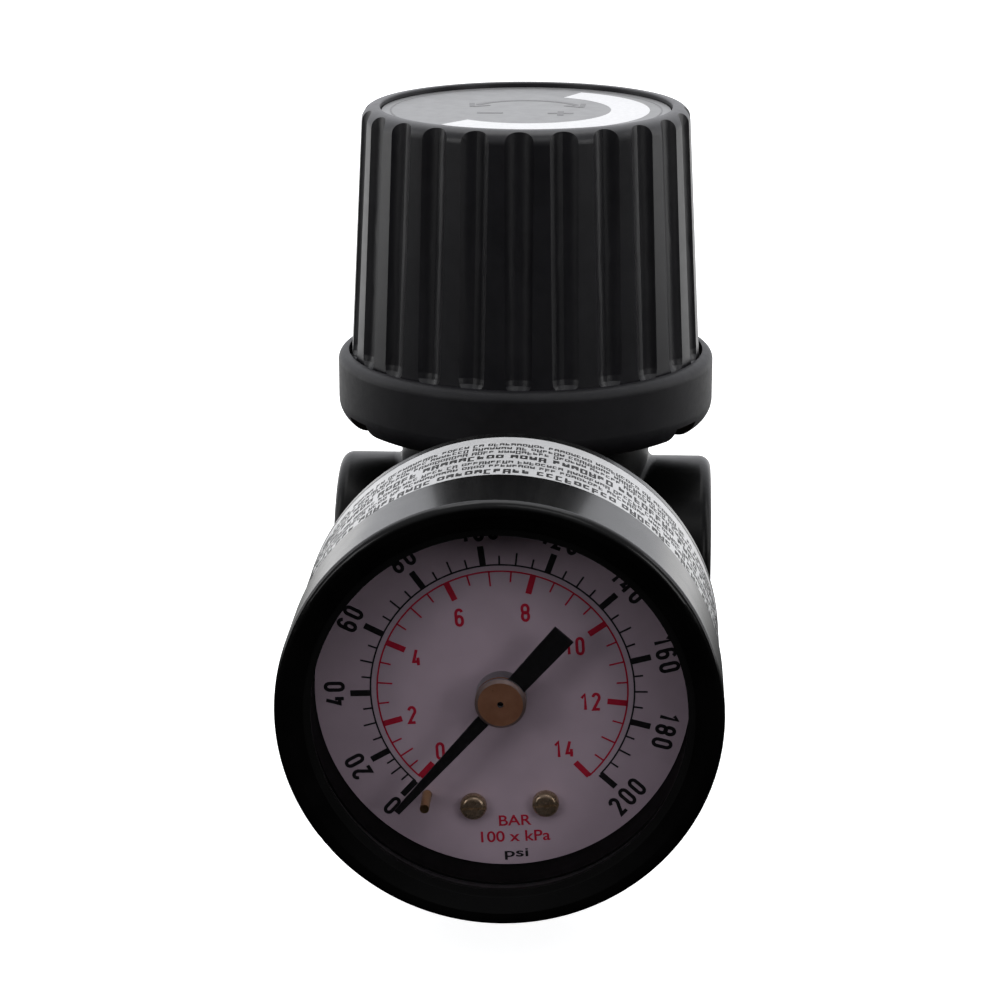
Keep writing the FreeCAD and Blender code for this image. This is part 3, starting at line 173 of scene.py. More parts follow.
def grey(value):
    return (value, value, value)


def moulded_plastic():
    """Black nylon with a fine spark-eroded texture."""
    s = Surface("moulded_black_nylon", Specular_IOR_Level=0.5)
    s.colour(s.noise(260, 2), (0.0062, 0.0059, 0.0076), (0.0098, 0.0094, 0.0118))
    s.roughness(s.noise(900, 4), 0.31, 0.43)
    s.bump(s.noise(5200, 3, 0.6), 0.00001, 0.5)
    s.bump(s.noise(700, 2), 0.00002, 0.25)
    return s.material


def collar_plastic():
    """The same nylon with a coarser matt finish."""
    s = Surface("matt_black_nylon", Specular_IOR_Level=0.35)
    s.colour(s.noise(300, 3), (0.0062, 0.006, 0.0075), (0.0098, 0.0094, 0.0118))
    s.roughness(s.noise(1200, 4), 0.44, 0.6)
    s.bump(s.noise(4200, 4, 0.65), 0.000014, 0.7)
    return s.material


def cast_paint():
    """Black enamel over die-cast zinc, slightly uneven."""
    s = Surface("black_cast_paint", Specular_IOR_Level=0.12, Coat_Weight=0.03, Coat_Roughness=0.16)
    s.colour(s.noise(340, 3), grey(0.002), grey(0.004), light_from=0.75)
    s.roughness(s.noise(500, 4), 0.24, 0.38)
    s.bump(s.noise(1500, 4, 0.6), 0.00002, 0.5)
    s.bump(s.noise(260, 2), 0.00006, 0.3)
    return s.material


def gauge_enamel():
    """Gloss black enamel on pressed steel with faint drawn waves, dull inside the cup."""
    s = Surface("gloss_black_enamel", Specular_IOR_Level=0.1, Coat_Roughness=0.13)
    s.colour(s.noise(200, 2), grey(0.0015), grey(0.003))
    s.bump(s.noise(420, 2), 0.000012, 0.35)
    from_axis = s.add("ShaderNodeVectorMath", operation="LENGTH")
    across = s.add("ShaderNodeVectorMath", operation="MULTIPLY_ADD")
    s.link(s.place, across.inputs[0])
    across.inputs[1].default_value = (1, 0, 1)
    across.inputs[2].default_value = (0, 0, -GAUGE_HEIGHT)
    s.link(across.outputs["Vector"], from_axis.inputs[0])
    outside = s.mapped(from_axis.outputs["Value"], 0, 1,
                       start=CUP_INSIDE_RADIUS - 0.2 * MM, end=CUP_INSIDE_RADIUS)
    s.link(s.mapped(outside, 0.0, 0.3), s.shader.inputs["Coat Weight"])
    dull = s.mapped(s.noise(420, 4), 0.7, 0.85)
    gloss = s.mapped(s.noise(420, 4), 0.2, 0.3)
    s.link(s.blended(outside, dull, gloss), s.shader.inputs["Roughness"])
    return s.material


def dial_paint():
    """Matt white dial with a very faint mottling, tinted mauve all over as a painted reflection."""
    s = Surface("dial_white", Specular_IOR_Level=0.3)
    # The mauve tint in these colours is a painted reflection of the surroundings; the dial's own
    # paint is white.
    s.colour(s.noise(420, 4), (0.66, 0.54, 0.59), (0.72, 0.59, 0.645))
    s.roughness(s.noise(900, 3), 0.5, 0.62)
    s.bump(s.noise(6000, 2), 0.000004, 0.4)
    return s.material


def ink(name, dark, light):
    """Screen-printed ink, a little uneven."""
    s = Surface(name, Specular_IOR_Level=0.3)
    s.colour(s.noise(2500, 3), dark, light)
    s.roughness(s.noise(1500, 2), 0.4, 0.55)
    return s.material


def sticker():
    """White vinyl, very slightly wavy."""
    s = Surface("vinyl_sticker", Specular_IOR_Level=0.5)
    s.colour(s.noise(300, 3), grey(0.54), grey(0.62))
    s.roughness(s.noise(800, 3), 0.28, 0.4)
    s.bump(s.noise(220, 3), 0.00002, 0.4)
    return s.material


def badge():
    """Silver foil disc with a faint mottle."""
    s = Surface("silver_badge", Metallic=0.35)
    s.colour(s.noise(500, 4), grey(0.19), grey(0.23))
    s.roughness(s.noise(900, 3), 0.3, 0.42)
    s.bump(s.noise(2600, 3), 0.000006, 0.5)
    return s.material


def metal(name, dark, light, rough_low, rough_high, metallic=1.0):
    """Machined metal, faintly mottled."""
    s = Surface(name, Metallic=metallic)
    s.colour(s.noise(700, 4), dark, light)
    s.roughness(s.noise(1600, 4), rough_low, rough_high)
    s.bump(s.noise(2600, 3), 0.000008, 0.5)
    return s.material


def hub_metal():
    """Copper-toned turned face on the front of the hub, grey turned steel round its side."""
    s = Surface("pointer_hub_metal", Metallic=0.5)
    facing = s.add("ShaderNodeSeparateXYZ")
    s.link(s.add("ShaderNodeTexCoord").outputs["Normal"], facing.inputs["Vector"])
    side = s.mapped(facing.outputs["Y"], 0, 1, start=-0.95, end=-0.6)
    copper = s.mottle(s.noise(700, 4), (0.46, 0.21, 0.11), (0.58, 0.29, 0.16))
    steel = s.mottle(s.noise(700, 4), grey(0.2), grey(0.3))
    s.link(s.blended(side, copper, steel, data_type="RGBA"), s.shader.inputs["Base Color"])
    s.roughness(s.noise(1600, 4), 0.24, 0.36)
    s.bump(s.noise(2600, 3), 0.000008, 0.5)
    return s.material


def rubber():
    s = Surface("black_rubber", Specular_IOR_Level=0.4)
    s.colour(s.noise(600, 3), grey(0.014), grey(0.022))
    s.roughness(s.noise(900, 3), 0.55, 0.75)
    s.bump(s.noise(3000, 3), 0.00001, 0.5)
    return s.material


def nylon():
    s = Surface("natural_nylon", Subsurface_Weight=0.1, Subsurface_Radius=(0.001, 0.001, 0.001))
    s.colour(s.noise(500, 3), (0.74, 0.72, 0.66), (0.8, 0.78, 0.72))
    s.roughness(s.noise(900, 3), 0.35, 0.5)
    s.bump(s.noise(2500, 3), 0.00001, 0.4)
    return s.material


def window():
    """Clear acrylic: see-through from the front, and more of a mirror when seen aslant."""
    s = Surface("clear_acrylic")
    s.tree.nodes.remove(s.shader)
    clear = s.add("ShaderNodeBsdfTransparent")
    clear.inputs["Color"].default_value = (0.93, 0.92, 0.94, 1)
    gloss = s.add("ShaderNodeBsdfGlossy")
    scratches = s.noise(900, 5, 0.7, s.stretched((1, 1, 6)))
    s.link(s.mapped(scratches, 0.01, 0.05), gloss.inputs["Roughness"])
    least_mirror = 0.04
    sharpness = 5
    slope = s.add("ShaderNodeMath", operation="POWER")
    s.link(s.add("ShaderNodeLayerWeight").outputs["Facing"], slope.inputs[0])
    slope.inputs[1].default_value = sharpness
    mirror = s.add("ShaderNodeMath", operation="MULTIPLY_ADD")
    s.link(slope.outputs["Value"], mirror.inputs[0])
    mirror.inputs[1].default_value = 1 - least_mirror
    mirror.inputs[2].default_value = least_mirror
    mix = s.add("ShaderNodeMixShader")
    s.link(mirror.outputs["Value"], mix.inputs["Fac"])
    s.link(clear.outputs["BSDF"], mix.inputs[1])
    s.link(gloss.outputs["BSDF"], mix.inputs[2])
    s.link(mix.outputs["Shader"], s.tree.nodes["Material Output"].inputs["Surface"])
    return s.material


BRASS = ((0.56, 0.36, 0.14), (0.66, 0.45, 0.2))
STEEL = ((0.46, 0.46, 0.47), (0.58, 0.58, 0.58))

MATERIALS = {
    "knob_plastic": moulded_plastic(),
    "collar_plastic": collar_plastic(),
    "casting": cast_paint(),
    "enamel": gauge_enamel(),
    "dial": dial_paint(),
    "sticker": sticker(),
    "badge": badge(),
    "brass": metal("machined_brass", *BRASS, 0.24, 0.38),
    "hub": hub_metal(),
    "dark_steel": metal("dark_arbor_steel", grey(0.05), grey(0.08), 0.25, 0.4),
    "steel": metal("plated_steel", *STEEL, 0.22, 0.36),
    "spring_steel": metal("spring_wire", grey(0.25), grey(0.36), 0.25, 0.4),
    "dull_brass": metal("dull_brass", (0.34, 0.25, 0.15), (0.46, 0.36, 0.24), 0.2, 0.34,
                        metallic=0.7),
    "zinc": metal("plain_zinc", grey(0.36), grey(0.45), 0.35, 0.5),
    "rubber": rubber(),
    "nylon": nylon(),
    "window": window(),
    "pointer": ink("pointer_black", grey(0.006), grey(0.011)),
    "black_ink": ink("black_ink", grey(0.012), grey(0.02)),
    "red_ink": ink("red_ink", (0.56, 0.015, 0.04), (0.64, 0.025, 0.06)),
    "grey_ink": ink("grey_ink", grey(0.16), grey(0.2)),
    "white_ink": ink("white_ink", grey(0.72), grey(0.8)),
}

NODE_MATERIALS = {
    "knob_plastic": ["knob"],
    "collar_plastic": ["bonnet"],
    "casting": ["body"],
    "enamel": ["gauge_case", "bezel"],
    "dial": ["dial"],
    "sticker": ["case_label"],
    "badge": ["knob_label"],
    "brass": [
        "bottom_plug", "poppet", "valve_seat", "relief_seat", "gauge_socket", "stop_pin",
        "movement_back_plate", "movement_front_plate", "movement_pillars", "sector_gear",
        "link", "bourdon_tube", "tube_tip", "dial_posts",
    ],
    "hub": ["pointer_hub"],
    "dark_steel": ["pinion"],
    "steel": [
        "diaphragm_plate", "diaphragm_nut", "adjusting_screw", "thrust_washer",
        "gauge_port_plug", "movement_screws", "case_screws",
    ],
    "dull_brass": ["dial_screws"],
    "spring_steel": ["valve_spring", "range_spring", "hairspring"],
    "zinc": ["spring_nut"],
    "rubber": ["plug_o_ring", "poppet_seal", "diaphragm", "lens_gasket"],
    "nylon": ["slip_ring"],
    "window": ["lens"],
    "pointer": ["pointer"],
}


def paint(item, material):
    item.data.materials.clear()
    item.data.materials.append(MATERIALS[material])


EDGE_ANGLE = math.radians(32)


def smooth(item):
    """Smooth shading except across edges sharper than the edge angle."""
    item.data.shade_smooth()
    item.data.set_sharp_from_angle(angle=EDGE_ANGLE)


def settle_normals(item):
    """Corner normals weighted by face area, so broad faces stay plain beside narrow rounds."""
    mesh = item.data
    limit = math.cos(EDGE_ANGLE)
    touching = [[] for _ in mesh.vertices]
    for face in mesh.polygons:
        for vertex in face.vertices:
            touching[vertex].append((face.normal.copy(), face.area))
    normals = []
    for face in mesh.polygons:
        for vertex in face.vertices:
            blend = Vector()
            for normal, area in touching[vertex]:
                if normal.dot(face.normal) > limit:
                    blend += normal * area
            normals.append(blend.normalized())
    mesh.normals_split_custom_set(normals)


def paint_nodes():
    for material, names in NODE_MATERIALS.items():
        for name in names:
            paint(nodes[name], material)
            smooth(nodes[name])
            settle_normals(nodes[name])


# ------------------------------------------------------------------ mesh building


# Printed strips grow thicker by this share, over this many strips, and then start again
STRIP_STEP = 0.05
STRIP_STEPS = 5


class Sheet:
    """Gathers thin printed shapes; x and y lie in the printed plane, z is the print's height."""

    def __init__(self, thickness):
        self.vertices = []
        self.faces = []
        self.thickness = thickness
        self.count = 0

    def band(self, left, right, closed):
        """A strip between two rails of points, made solid; closed joins its ends.

        Strips take turns in being a little thicker, so crossing ones don't share a face.
        """
        count = len(left)
        base = len(self.vertices)
        top = self.thickness * (1 + STRIP_STEP * (self.count % STRIP_STEPS))
        self.count += 1
        for height in (0, top):
            for rail in (left, right):
                self.vertices += [(x, y, height) for x, y in rail]
        low_left, low_right = base, base + count
        top_left, top_right = base + 2 * count, base + 3 * count
        steps = count if closed else count - 1
        for i in range(steps):
            j = (i + 1) % count
            self.faces.append((top_left + i, top_right + i, top_right + j, top_left + j))
            self.faces.append((low_left + j, low_right + j, low_right + i, low_left + i))
            self.faces.append((low_left + i, top_left + i, top_left + j, low_left + j))
            self.faces.append((low_right + j, top_right + j, top_right + i, low_right + i))
        if not closed:
            end = count - 1
            self.faces.append((low_left, low_right, top_right, top_left))
            self.faces.append((low_left + end, top_left + end, top_right + end, low_right + end))

    def stroke(self, points, width, closed=False):
        """A line of constant width through the points, with mitred corners."""
        count = len(points)
        left = []
        right = []
        for i, point in enumerate(points):
            before = points[i - 1] if closed or i > 0 else None
            after = points[(i + 1) % count] if closed or i < count - 1 else None
            offset = mitre(before, point, after, width / 2)
            left.append((point[0] + offset[0], point[1] + offset[1]))
            right.append((point[0] - offset[0], point[1] - offset[1]))
        self.band(left, right, closed)

    def arc(self, radius, start, end, width, steps=None):
        """Part of a circle between two angles in degrees."""
        steps = steps or max(4, int(abs(end - start) / 3))
        angles = [start + (end - start) * i / steps for i in range(steps + 1)]
        self.stroke([around(radius, angle) for angle in angles], width)

    def ring(self, inner, outer, steps=120):
        """A full ring between two radii."""
        angles = [360 * i / steps for i in range(steps)]
        self.band([around(inner, angle) for angle in angles],
                  [around(outer, angle) for angle in angles], True)

    def piece(self, name, place, material, body):
        """Turns the gathered shapes, drawn in millimetres, into a Blender object."""
        mesh = bpy.data.meshes.new(name)
        mesh.from_pydata([place(Vector(v) * MM) for v in self.vertices], [], self.faces)
        return finished(name, mesh, material, body)


def finished(name, mesh, material, body):
    """A piece from a mesh: faces turned outwards, painted, and riding with its body."""
    clean = bmesh.new()
    clean.from_mesh(mesh)
    bmesh.ops.recalc_face_normals(clean, faces=clean.faces)
    clean.to_mesh(mesh)
    clean.free()
    item = bpy.data.objects.new(name, mesh)
    bpy.context.scene.collection.objects.link(item)
    paint(item, material)
    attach(item, body)
    return item


def around(radius, degrees):
    """A point on a circle about the origin."""
    angle = math.radians(degrees)
    return (radius * math.cos(angle), radius * math.sin(angle))


def mitre(before, point, after, half):
    """Offset to the left of a path at a point, long enough to keep the stroke's width."""
    sharpest = 0.25
    normals = []
    for start, end in ((before, point), (point, after)):
        if start is None or end is None:
            continue
        dx, dy = end[0] - start[0], end[1] - start[1]
        length = math.hypot(dx, dy)
        normals.append((-dy / length, dx / length))
    nx = sum(n[0] for n in normals) / len(normals)
    ny = sum(n[1] for n in normals) / len(normals)
    size = max(nx * nx + ny * ny, sharpest)
    return (nx * half / size, ny * half / size)


# ------------------------------------------------------------------ narrow numerals


def bend(cx, cy, rx, ry, start, end, steps=8):
    """Points along part of an ellipse, angles in degrees."""
    return [
        (cx + rx * math.cos(math.radians(start + (end - start) * i / steps)),
         cy + ry * math.sin(math.radians(start + (end - start) * i / steps)))
        for i in range(steps + 1)
    ]


def loop(low, high):
    """A closed numeral bowl, straight-sided, from one height to another."""
    half = 0.5
    curve = min(0.24, (high - low) / 2)
    upper = bend(half, high - curve, half, curve, 0, 180)
    lower = bend(half, low + curve, half, curve, 180, 360)
    return upper + lower


def numeral_strokes(digit):
    """Strokes, as (points, closed), of 0, 1, 2, 4, 6 or 8 in a box one unit wide and tall."""
    if digit == "0":
        return [(loop(0, 1), True)]
    if digit == "1":
        return [([(0.2, 0.76), (0.72, 1.0), (0.72, 0)], False)]
    if digit == "2":
        crown = bend(0.5, 0.76, 0.5, 0.24, 170, -20)
        return [(crown + [(0.02, 0.0), (1.0, 0.0)], False)]
    if digit == "4":
        return [([(0.55, 1.0), (0.0, 0.24), (1.0, 0.24)], False), ([(0.74, 0.5), (0.74, 0)], False)]
    if digit == "6":
        hook = bend(0.5, 0.76, 0.5, 0.24, 20, 180)
        return [(loop(0, 0.58), True), (hook + [(0.0, 0.3)], False)]
    return [(loop(0.47, 1), True), (loop(0, 0.53), True)]


NUMERAL_GAP = 0.36


def write_number(sheet, text, centre, turn, numeral):
    """A number centred on a point and turned by an angle in degrees.

    A numeral is given as its height, its width and the width of its strokes.
    """
    height, width, weight = numeral
    gap = width * NUMERAL_GAP
    span = len(text) * width + (len(text) - 1) * gap
    angle = math.radians(turn)
    for index, digit in enumerate(text):
        left = -span / 2 + index * (width + gap)
        for points, closed in numeral_strokes(digit):
            placed = []
            for x, y in points:
                inner = weight / 2
                px = left + inner + x * (width - weight)
                py = -height / 2 + inner + y * (height - weight)
                placed.append((
                    centre[0] + px * math.cos(angle) - py * math.sin(angle),
                    centre[1] + px * math.sin(angle) + py * math.cos(angle)))
            sheet.stroke(placed, weight, closed)


LETTER_BOLDNESS = 0.014


def word(name, text, centre, height, width, place, material, body, thickness):
    """Flat lettering of a given height and total width, centred on a point."""
    curve = bpy.data.curves.new(name + "_outline", "FONT")
    curve.body = text
    half_depth = 0.5
    curve.extrude = half_depth
    curve.offset = LETTER_BOLDNESS
    outline = bpy.data.objects.new(name + "_outline", curve)
    bpy.context.scene.collection.objects.link(outline)
    bpy.context.view_layer.update()
    mesh = bpy.data.meshes.new_from_object(outline)
    bpy.data.objects.remove(outline)
    xs = [v.co.x for v in mesh.vertices]
    ys = [v.co.y for v in mesh.vertices]
    for vertex in mesh.vertices:
        x = (vertex.co.x - (min(xs) + max(xs)) / 2) * width / (max(xs) - min(xs))
        y = (vertex.co.y - (min(ys) + max(ys)) / 2) * height / (max(ys) - min(ys))
        z = (vertex.co.z + half_depth) * thickness
        vertex.co = place(Vector((x + centre[0], y + centre[1], z)) * MM)
    mesh.materials.clear()
    return finished(name, mesh, material, body)


# ------------------------------------------------------------------ dial print

# Lengths are in millimetres and angles in degrees
PRINT = 0.02
PSI_ZERO = 225.0
PSI_TWENTY = 206.6
PSI_STEP = 27.95
BAR_IN_PSI = 14.5038
PSI_NUMBER_EVERY = 20
PSI_TICK_EVERY = 5
HIGHEST_PSI = 200
HIGHEST_BAR = 14
PSI_RING = 12.64
BAR_RING = 12.0
RING_WIDTH = 0.16
PSI_NUMERAL_RING = 16.1

# Ticks as (length, width): at each number, halfway between numbers, and between those
PSI_TICKS = ((1.95, 0.6), (1.25, 0.17), (0.9, 0.17))
BAR_TICKS = ((1.9, 0.58), (1.45, 0.16), (1.05, 0.16))

# Numerals as (height, width, stroke width)
PSI_NUMERAL = (2.05, 1.02, 0.34)
BAR_NUMERAL = (1.85, 0.88, 0.28)
BAR_NUMERAL_PLACES = {
    "0": (-5.98, -6.33), "2": (-8.67, -2.66), "4": (-8.2, 3.2), "6": (-4.1, 7.3),
    "8": (2.18, 7.9), "10": (6.8, 4.6), "12": (8.4, -1.0), "14": (5.9, -5.9),
}

# Unit lettering as (name, text, centre, height, width, ink)
UNITS = (
    ("bar", "BAR", (1.25, -13.35), 1.1, 3.15, "red_ink"),
    ("kilopascal", "100 x kPa", (1.3, -15.0), 1.15, 6.75, "red_ink"),
    ("psi", "psi", (1.4, -16.9), 1.15, 2.3, "black_ink"),
)


def psi_angle(psi):
    """Dial angle of a pressure; the first 20 psi are squeezed together."""
    if psi < PSI_NUMBER_EVERY:
        return PSI_ZERO + (PSI_TWENTY - PSI_ZERO) * psi / PSI_NUMBER_EVERY
    return PSI_TWENTY - PSI_STEP * (psi - PSI_NUMBER_EVERY) / PSI_NUMBER_EVERY


def on_dial(point):
    """A point of flat print, laid on the front of the dial."""
    return GAUGE @ Vector((point.x, point.y, point.z + DIAL_FRONT))


def unrolled(x, y):
    """A point given upright in the world, taken into the dial's own turned frame."""
    c, s = math.cos(-GAUGE_ROLL), math.sin(-GAUGE_ROLL)
    return (x * c - y * s, x * s + y * c)


def print_ticks(sheet, radius, outward, angles, ticks):
    """Ticks from a ring at each angle; every fourth angle, from the first, has a number."""
    numbered, halfway, minor = ticks
    for count, angle in enumerate(angles):
        if count % 4 == 0:
            length, width = numbered
        elif count % 2 == 0:
            length, width = halfway
        else:
            length, width = minor
        sheet.stroke([around(radius, angle), around(radius + outward * length, angle)], width)


def print_psi_scale():
    """Outer scale: the numbers' tops face outwards, except on the last one."""
    sheet = Sheet(PRINT)
    sheet.arc(PSI_RING, psi_angle(0), psi_angle(HIGHEST_PSI), RING_WIDTH)
    angles = [psi_angle(psi) for psi in range(0, HIGHEST_PSI + 1, PSI_TICK_EVERY)]
    print_ticks(sheet, PSI_RING, 1, angles, PSI_TICKS)
    for psi in range(0, HIGHEST_PSI + 1, PSI_NUMBER_EVERY):
        angle = psi_angle(psi)
        turn = angle + 90 if psi == HIGHEST_PSI else angle - 90
        write_number(sheet, str(psi), around(PSI_NUMERAL_RING, angle), turn, PSI_NUMERAL)
    sheet.piece("dial_scale_psi", on_dial, "black_ink", "root")


def print_bar_scale():
    """Inner scale: its ticks point inwards and its numbers stand upright."""
    sheet = Sheet(PRINT)
    sheet.arc(BAR_RING, psi_angle(0), psi_angle(HIGHEST_BAR * BAR_IN_PSI), RING_WIDTH)
    angles = [psi_angle(half_bar / 2 * BAR_IN_PSI) for half_bar in range(2 * HIGHEST_BAR + 1)]
    print_ticks(sheet, BAR_RING, -1, angles, BAR_TICKS)
    for text, (x, y) in BAR_NUMERAL_PLACES.items():
        write_number(sheet, text, unrolled(x, y), 0, BAR_NUMERAL)
    sheet.piece("dial_scale_bar", on_dial, "red_ink", "root")


def print_units():
    for name, text, centre, height, width, material in UNITS:
        word("dial_print_" + name, text, unrolled(*centre), height, width, on_dial, material,
             "root", PRINT)


# ------------------------------------------------------------------ case label and badge print


def on_label(point):
    """Wraps a flat print round the case: x is arc length, y runs from front to back."""
    angle = math.pi / 2 - point.x / LABEL_RADIUS
    radius = LABEL_RADIUS + point.z
    return GAUGE @ Vector((
        radius * math.cos(angle), radius * math.sin(angle), -LABEL_LOW.y - point.y))


LABEL_PRINT = 0.012
LABEL_HALF_TURN = 158

# Letter-like marks as (height, width, stem width), and rows as (distance from the front, mark)
SMALL_MARK = (1.05, 0.34, 0.13)
BOLD_MARK = (1.5, 0.5, 0.24)
LABEL_ROWS = (
    (2.3, BOLD_MARK), (3.85, SMALL_MARK), (5.2, SMALL_MARK), (7.2, BOLD_MARK),
    (8.7, SMALL_MARK), (10.0, SMALL_MARK), (11.3, SMALL_MARK),
)
SHORT_MARK = 0.72
BAR_BOLDNESS = 1.4
MARK_GAP = 1.7
SECOND_STEM_CHANCE = 0.6
BAR_LEVELS = (0.1, 0.5, 0.9)
FEWEST_MARKS = 2
MOST_MARKS = 10


def letter_mark(sheet, rng, x, depth, height, width, stem):
    """A meaningless letter-like mark: one or two stems and two bars."""
    tall = height * rng.choice((SHORT_MARK, SHORT_MARK, 1.0))
    bar = stem * BAR_BOLDNESS
    sheet.stroke([(x, depth), (x, depth - tall)], stem)
    if rng.random() < SECOND_STEM_CHANCE:
        sheet.stroke([(x + width, depth), (x + width, depth - tall)], stem)
    for level in rng.sample(BAR_LEVELS, 2):
        sheet.stroke([(x, depth - tall * level), (x + width, depth - tall * level)], bar)


def print_case_label():
    """Rows of small unreadable marks that stand for the label's small print."""
    rng = random.Random(7)
    sheet = Sheet(LABEL_PRINT)
    reach = LABEL_RADIUS / MM * math.radians(LABEL_HALF_TURN)
    for depth, (height, width, stem) in LABEL_ROWS:
        x = -reach
        while x < reach:
            for _ in range(rng.randint(FEWEST_MARKS, MOST_MARKS)):
                letter_mark(sheet, rng, x, depth, height, width, stem)
                x += width + stem * MARK_GAP
            x += width
    sheet.piece("case_label_print", on_label, "black_ink", "root")


def on_badge(point):
    """A point of flat print, laid on the badge."""
    return Vector((point.x, point.y, point.z + BADGE_TOP))


def print_badge():
    """A light arc, and a two-headed turning arrow over minus and plus signs."""
    light = Sheet(PRINT)
    light.arc(radius=11.3, start=-130, end=65, width=4.2, steps=60)
    light.piece("badge_ring", on_badge, "white_ink", "knob")
    dark = Sheet(PRINT)
    dark.ring(inner=14.6, outer=14.8)
    line = 0.7
    head_line = 0.6
    arrow_radius = 6.2
    head_half_width = 1.2
    tip_ahead = 14
    barb_behind = 4
    arrow_left, arrow_right = 150, 30
    dark.arc(arrow_radius, arrow_left, arrow_right, line)
    for angle, ahead in ((arrow_left, 1), (arrow_right, -1)):
        tip = around(arrow_radius, angle + ahead * tip_ahead)
        for side in (-head_half_width, head_half_width):
            barb = around(arrow_radius + side, angle - ahead * barb_behind)
            dark.stroke([tip, barb], head_line)
    sign_x, sign_y, reach = 3.8, -2.4, 1.4
    for x in (-sign_x, sign_x):
        dark.stroke([(x - reach, sign_y), (x + reach, sign_y)], line)
    dark.stroke([(sign_x, sign_y - reach), (sign_x, sign_y + reach)], line)
    dark.piece("badge_arrow", on_badge, "grey_ink", "knob")


# ------------------------------------------------------------------ port threads


def port_thread(name, side):
    """Pipe thread ridge inside a port: a helix whose height fades at both ends.

    Lengths are in millimetres; the foot and flat widths are shares of the pitch.
    """
    sunk = 0.01
    wall = PORT_RADIUS + sunk
    crest = 5.2
    pitch = 1.41
    start = 10.0
    turns = 6
    per_turn = 64
    foot, flat = 0.46, 0.07
    fade_steps = per_turn / 2
    vertices = []
    faces = []
    total = turns * per_turn
    for i in range(total + 1):
        angle = 2 * math.pi * i / per_turn
        x = start + pitch * i / per_turn
        fade = min(1, i / fade_steps, (total - i) / fade_steps)
        tip = wall - (wall - crest) * fade - sunk
        for along, radius in ((-foot, wall), (-flat, tip), (flat, tip), (foot, wall)):
            vertices.append(Vector((
                side * (x + along * pitch), radius * math.cos(angle),
                radius * math.sin(angle))) * MM + Vector((0, 0, PORT_HEIGHT)))
    for i in range(total):
        a, b = 4 * i, 4 * (i + 1)
        for k in range(4):
            n = (k + 1) % 4
            faces.append((a + k, a + n, b + n, b + k))
    faces.append((0, 1, 2, 3))
    last = 4 * total
    faces.append((last + 3, last + 2, last + 1, last))
    mesh = bpy.data.meshes.new(name)
    mesh.from_pydata(vertices, [], faces)
    smooth(finished(name, mesh, "casting", "root"))


# ------------------------------------------------------------------ coiled springs


def coil(name, node, wire_radius, turns):
    """A spring swept round the axis in place of its part, which it hides."""
    low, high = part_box(node)
    orbit = (high.x - low.x) / 2 - wire_radius
    height = high.z - low.z - 2 * wire_radius
    per_turn, around_wire = 40, 12
    steps = int(turns * per_turn)
    vertices = []
    faces = []
    for i in range(steps + 1):
        angle = 2 * math.pi * i / per_turn
        radial = Vector((math.cos(angle), math.sin(angle), 0))
        centre = radial * orbit + Vector((0, 0, low.z + wire_radius + height * i / steps))
        for k in range(around_wire):
            turn = 2 * math.pi * k / around_wire
            vertices.append(centre + wire_radius * (
                radial * math.cos(turn) + Vector((0, 0, math.sin(turn)))))
    for i in range(steps):
        for k in range(around_wire):
            n = (k + 1) % around_wire
            a, b = i * around_wire, (i + 1) * around_wire
            faces.append((a + k, a + n, b + n, b + k))
    faces.append(tuple(range(around_wire)))
    faces.append(tuple(range(steps * around_wire, (steps + 1) * around_wire)))
    mesh = bpy.data.meshes.new(name)
    mesh.from_pydata(vertices, [], faces)
    item = finished(name, mesh, "spring_steel", "root")
    smooth(item)
    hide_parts(node)
    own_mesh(item)


# ------------------------------------------------------------------ diaphragm in two pieces


def lathe(name, outline, material, body, steps=96):
    """A ring turned about the knob axis from a closed outline of (radius, height)."""
    vertices = []
    faces = []
    count = len(outline)
    for i in range(steps):
        angle = 2 * math.pi * i / steps
        vertices += [(r * math.cos(angle), r * math.sin(angle), z) for r, z in outline]
    for i in range(steps):
        a, b = i * count, (i + 1) % steps * count
        for k in range(count):
            n = (k + 1) % count
            faces.append((a + k, a + n, b + n, b + k))
    mesh = bpy.data.meshes.new(name)
    mesh.from_pydata(vertices, [], faces)
    item = finished(name, mesh, material, body)
    smooth(item)
    return item


def split_diaphragm():
    """The clamped rim and ridge stay with the casting; the centre moves with its plates."""
    low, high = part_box("diaphragm")
    sheet_top = low.z + 0.8 * MM
    bore = 2.45 * MM
    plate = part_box("diaphragm_plate")[1].x
    centre_edge = plate + 0.2 * MM
    rim_edge = plate + 0.3 * MM
    ridge_start = plate + 0.6 * MM
    ridge_end = 14.1 * MM
    rise = high.z - sheet_top
    steps = 8
    ridge = [(i / steps, math.sin(math.pi * i / steps)) for i in range(steps + 1)]
    width = ridge_end - ridge_start
    under = [(ridge_start + width * u, low.z + rise * v) for u, v in ridge]
    over = [(ridge_start + width * u, sheet_top + rise * v) for u, v in reversed(ridge)]
    rim = lathe("diaphragm_rim", [
        (rim_edge, low.z), *under, (high.x, low.z), (high.x, sheet_top), *over,
        (rim_edge, sheet_top)], "rubber", "root")
    centre = lathe("diaphragm_centre", [
        (bore, low.z), (centre_edge, low.z), (centre_edge, sheet_top), (bore, sheet_top)],
        "rubber", "diaphragm_stack")
    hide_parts("diaphragm")
    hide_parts("diaphragm")


# ------------------------------------------------------------------ studio

FLOOR_GLOW = 0.72
FLOOR_BEHIND = 1.5
FLOOR_DARK_UNTIL = 0.0
FLOOR_BRIGHT_FROM = 0.25
ROOM_ABOVE = 0.55
ROOM_BEHIND = 1.1
ROOM_IN_FRONT = 0.015
ROOM_HORIZON = 0.05
FRONT_LIGHT = 0.8
FRONT_SIDE_LIGHT = 1.7
TOP_LIGHT = 1.2
SIDE_LIGHT = 0.5


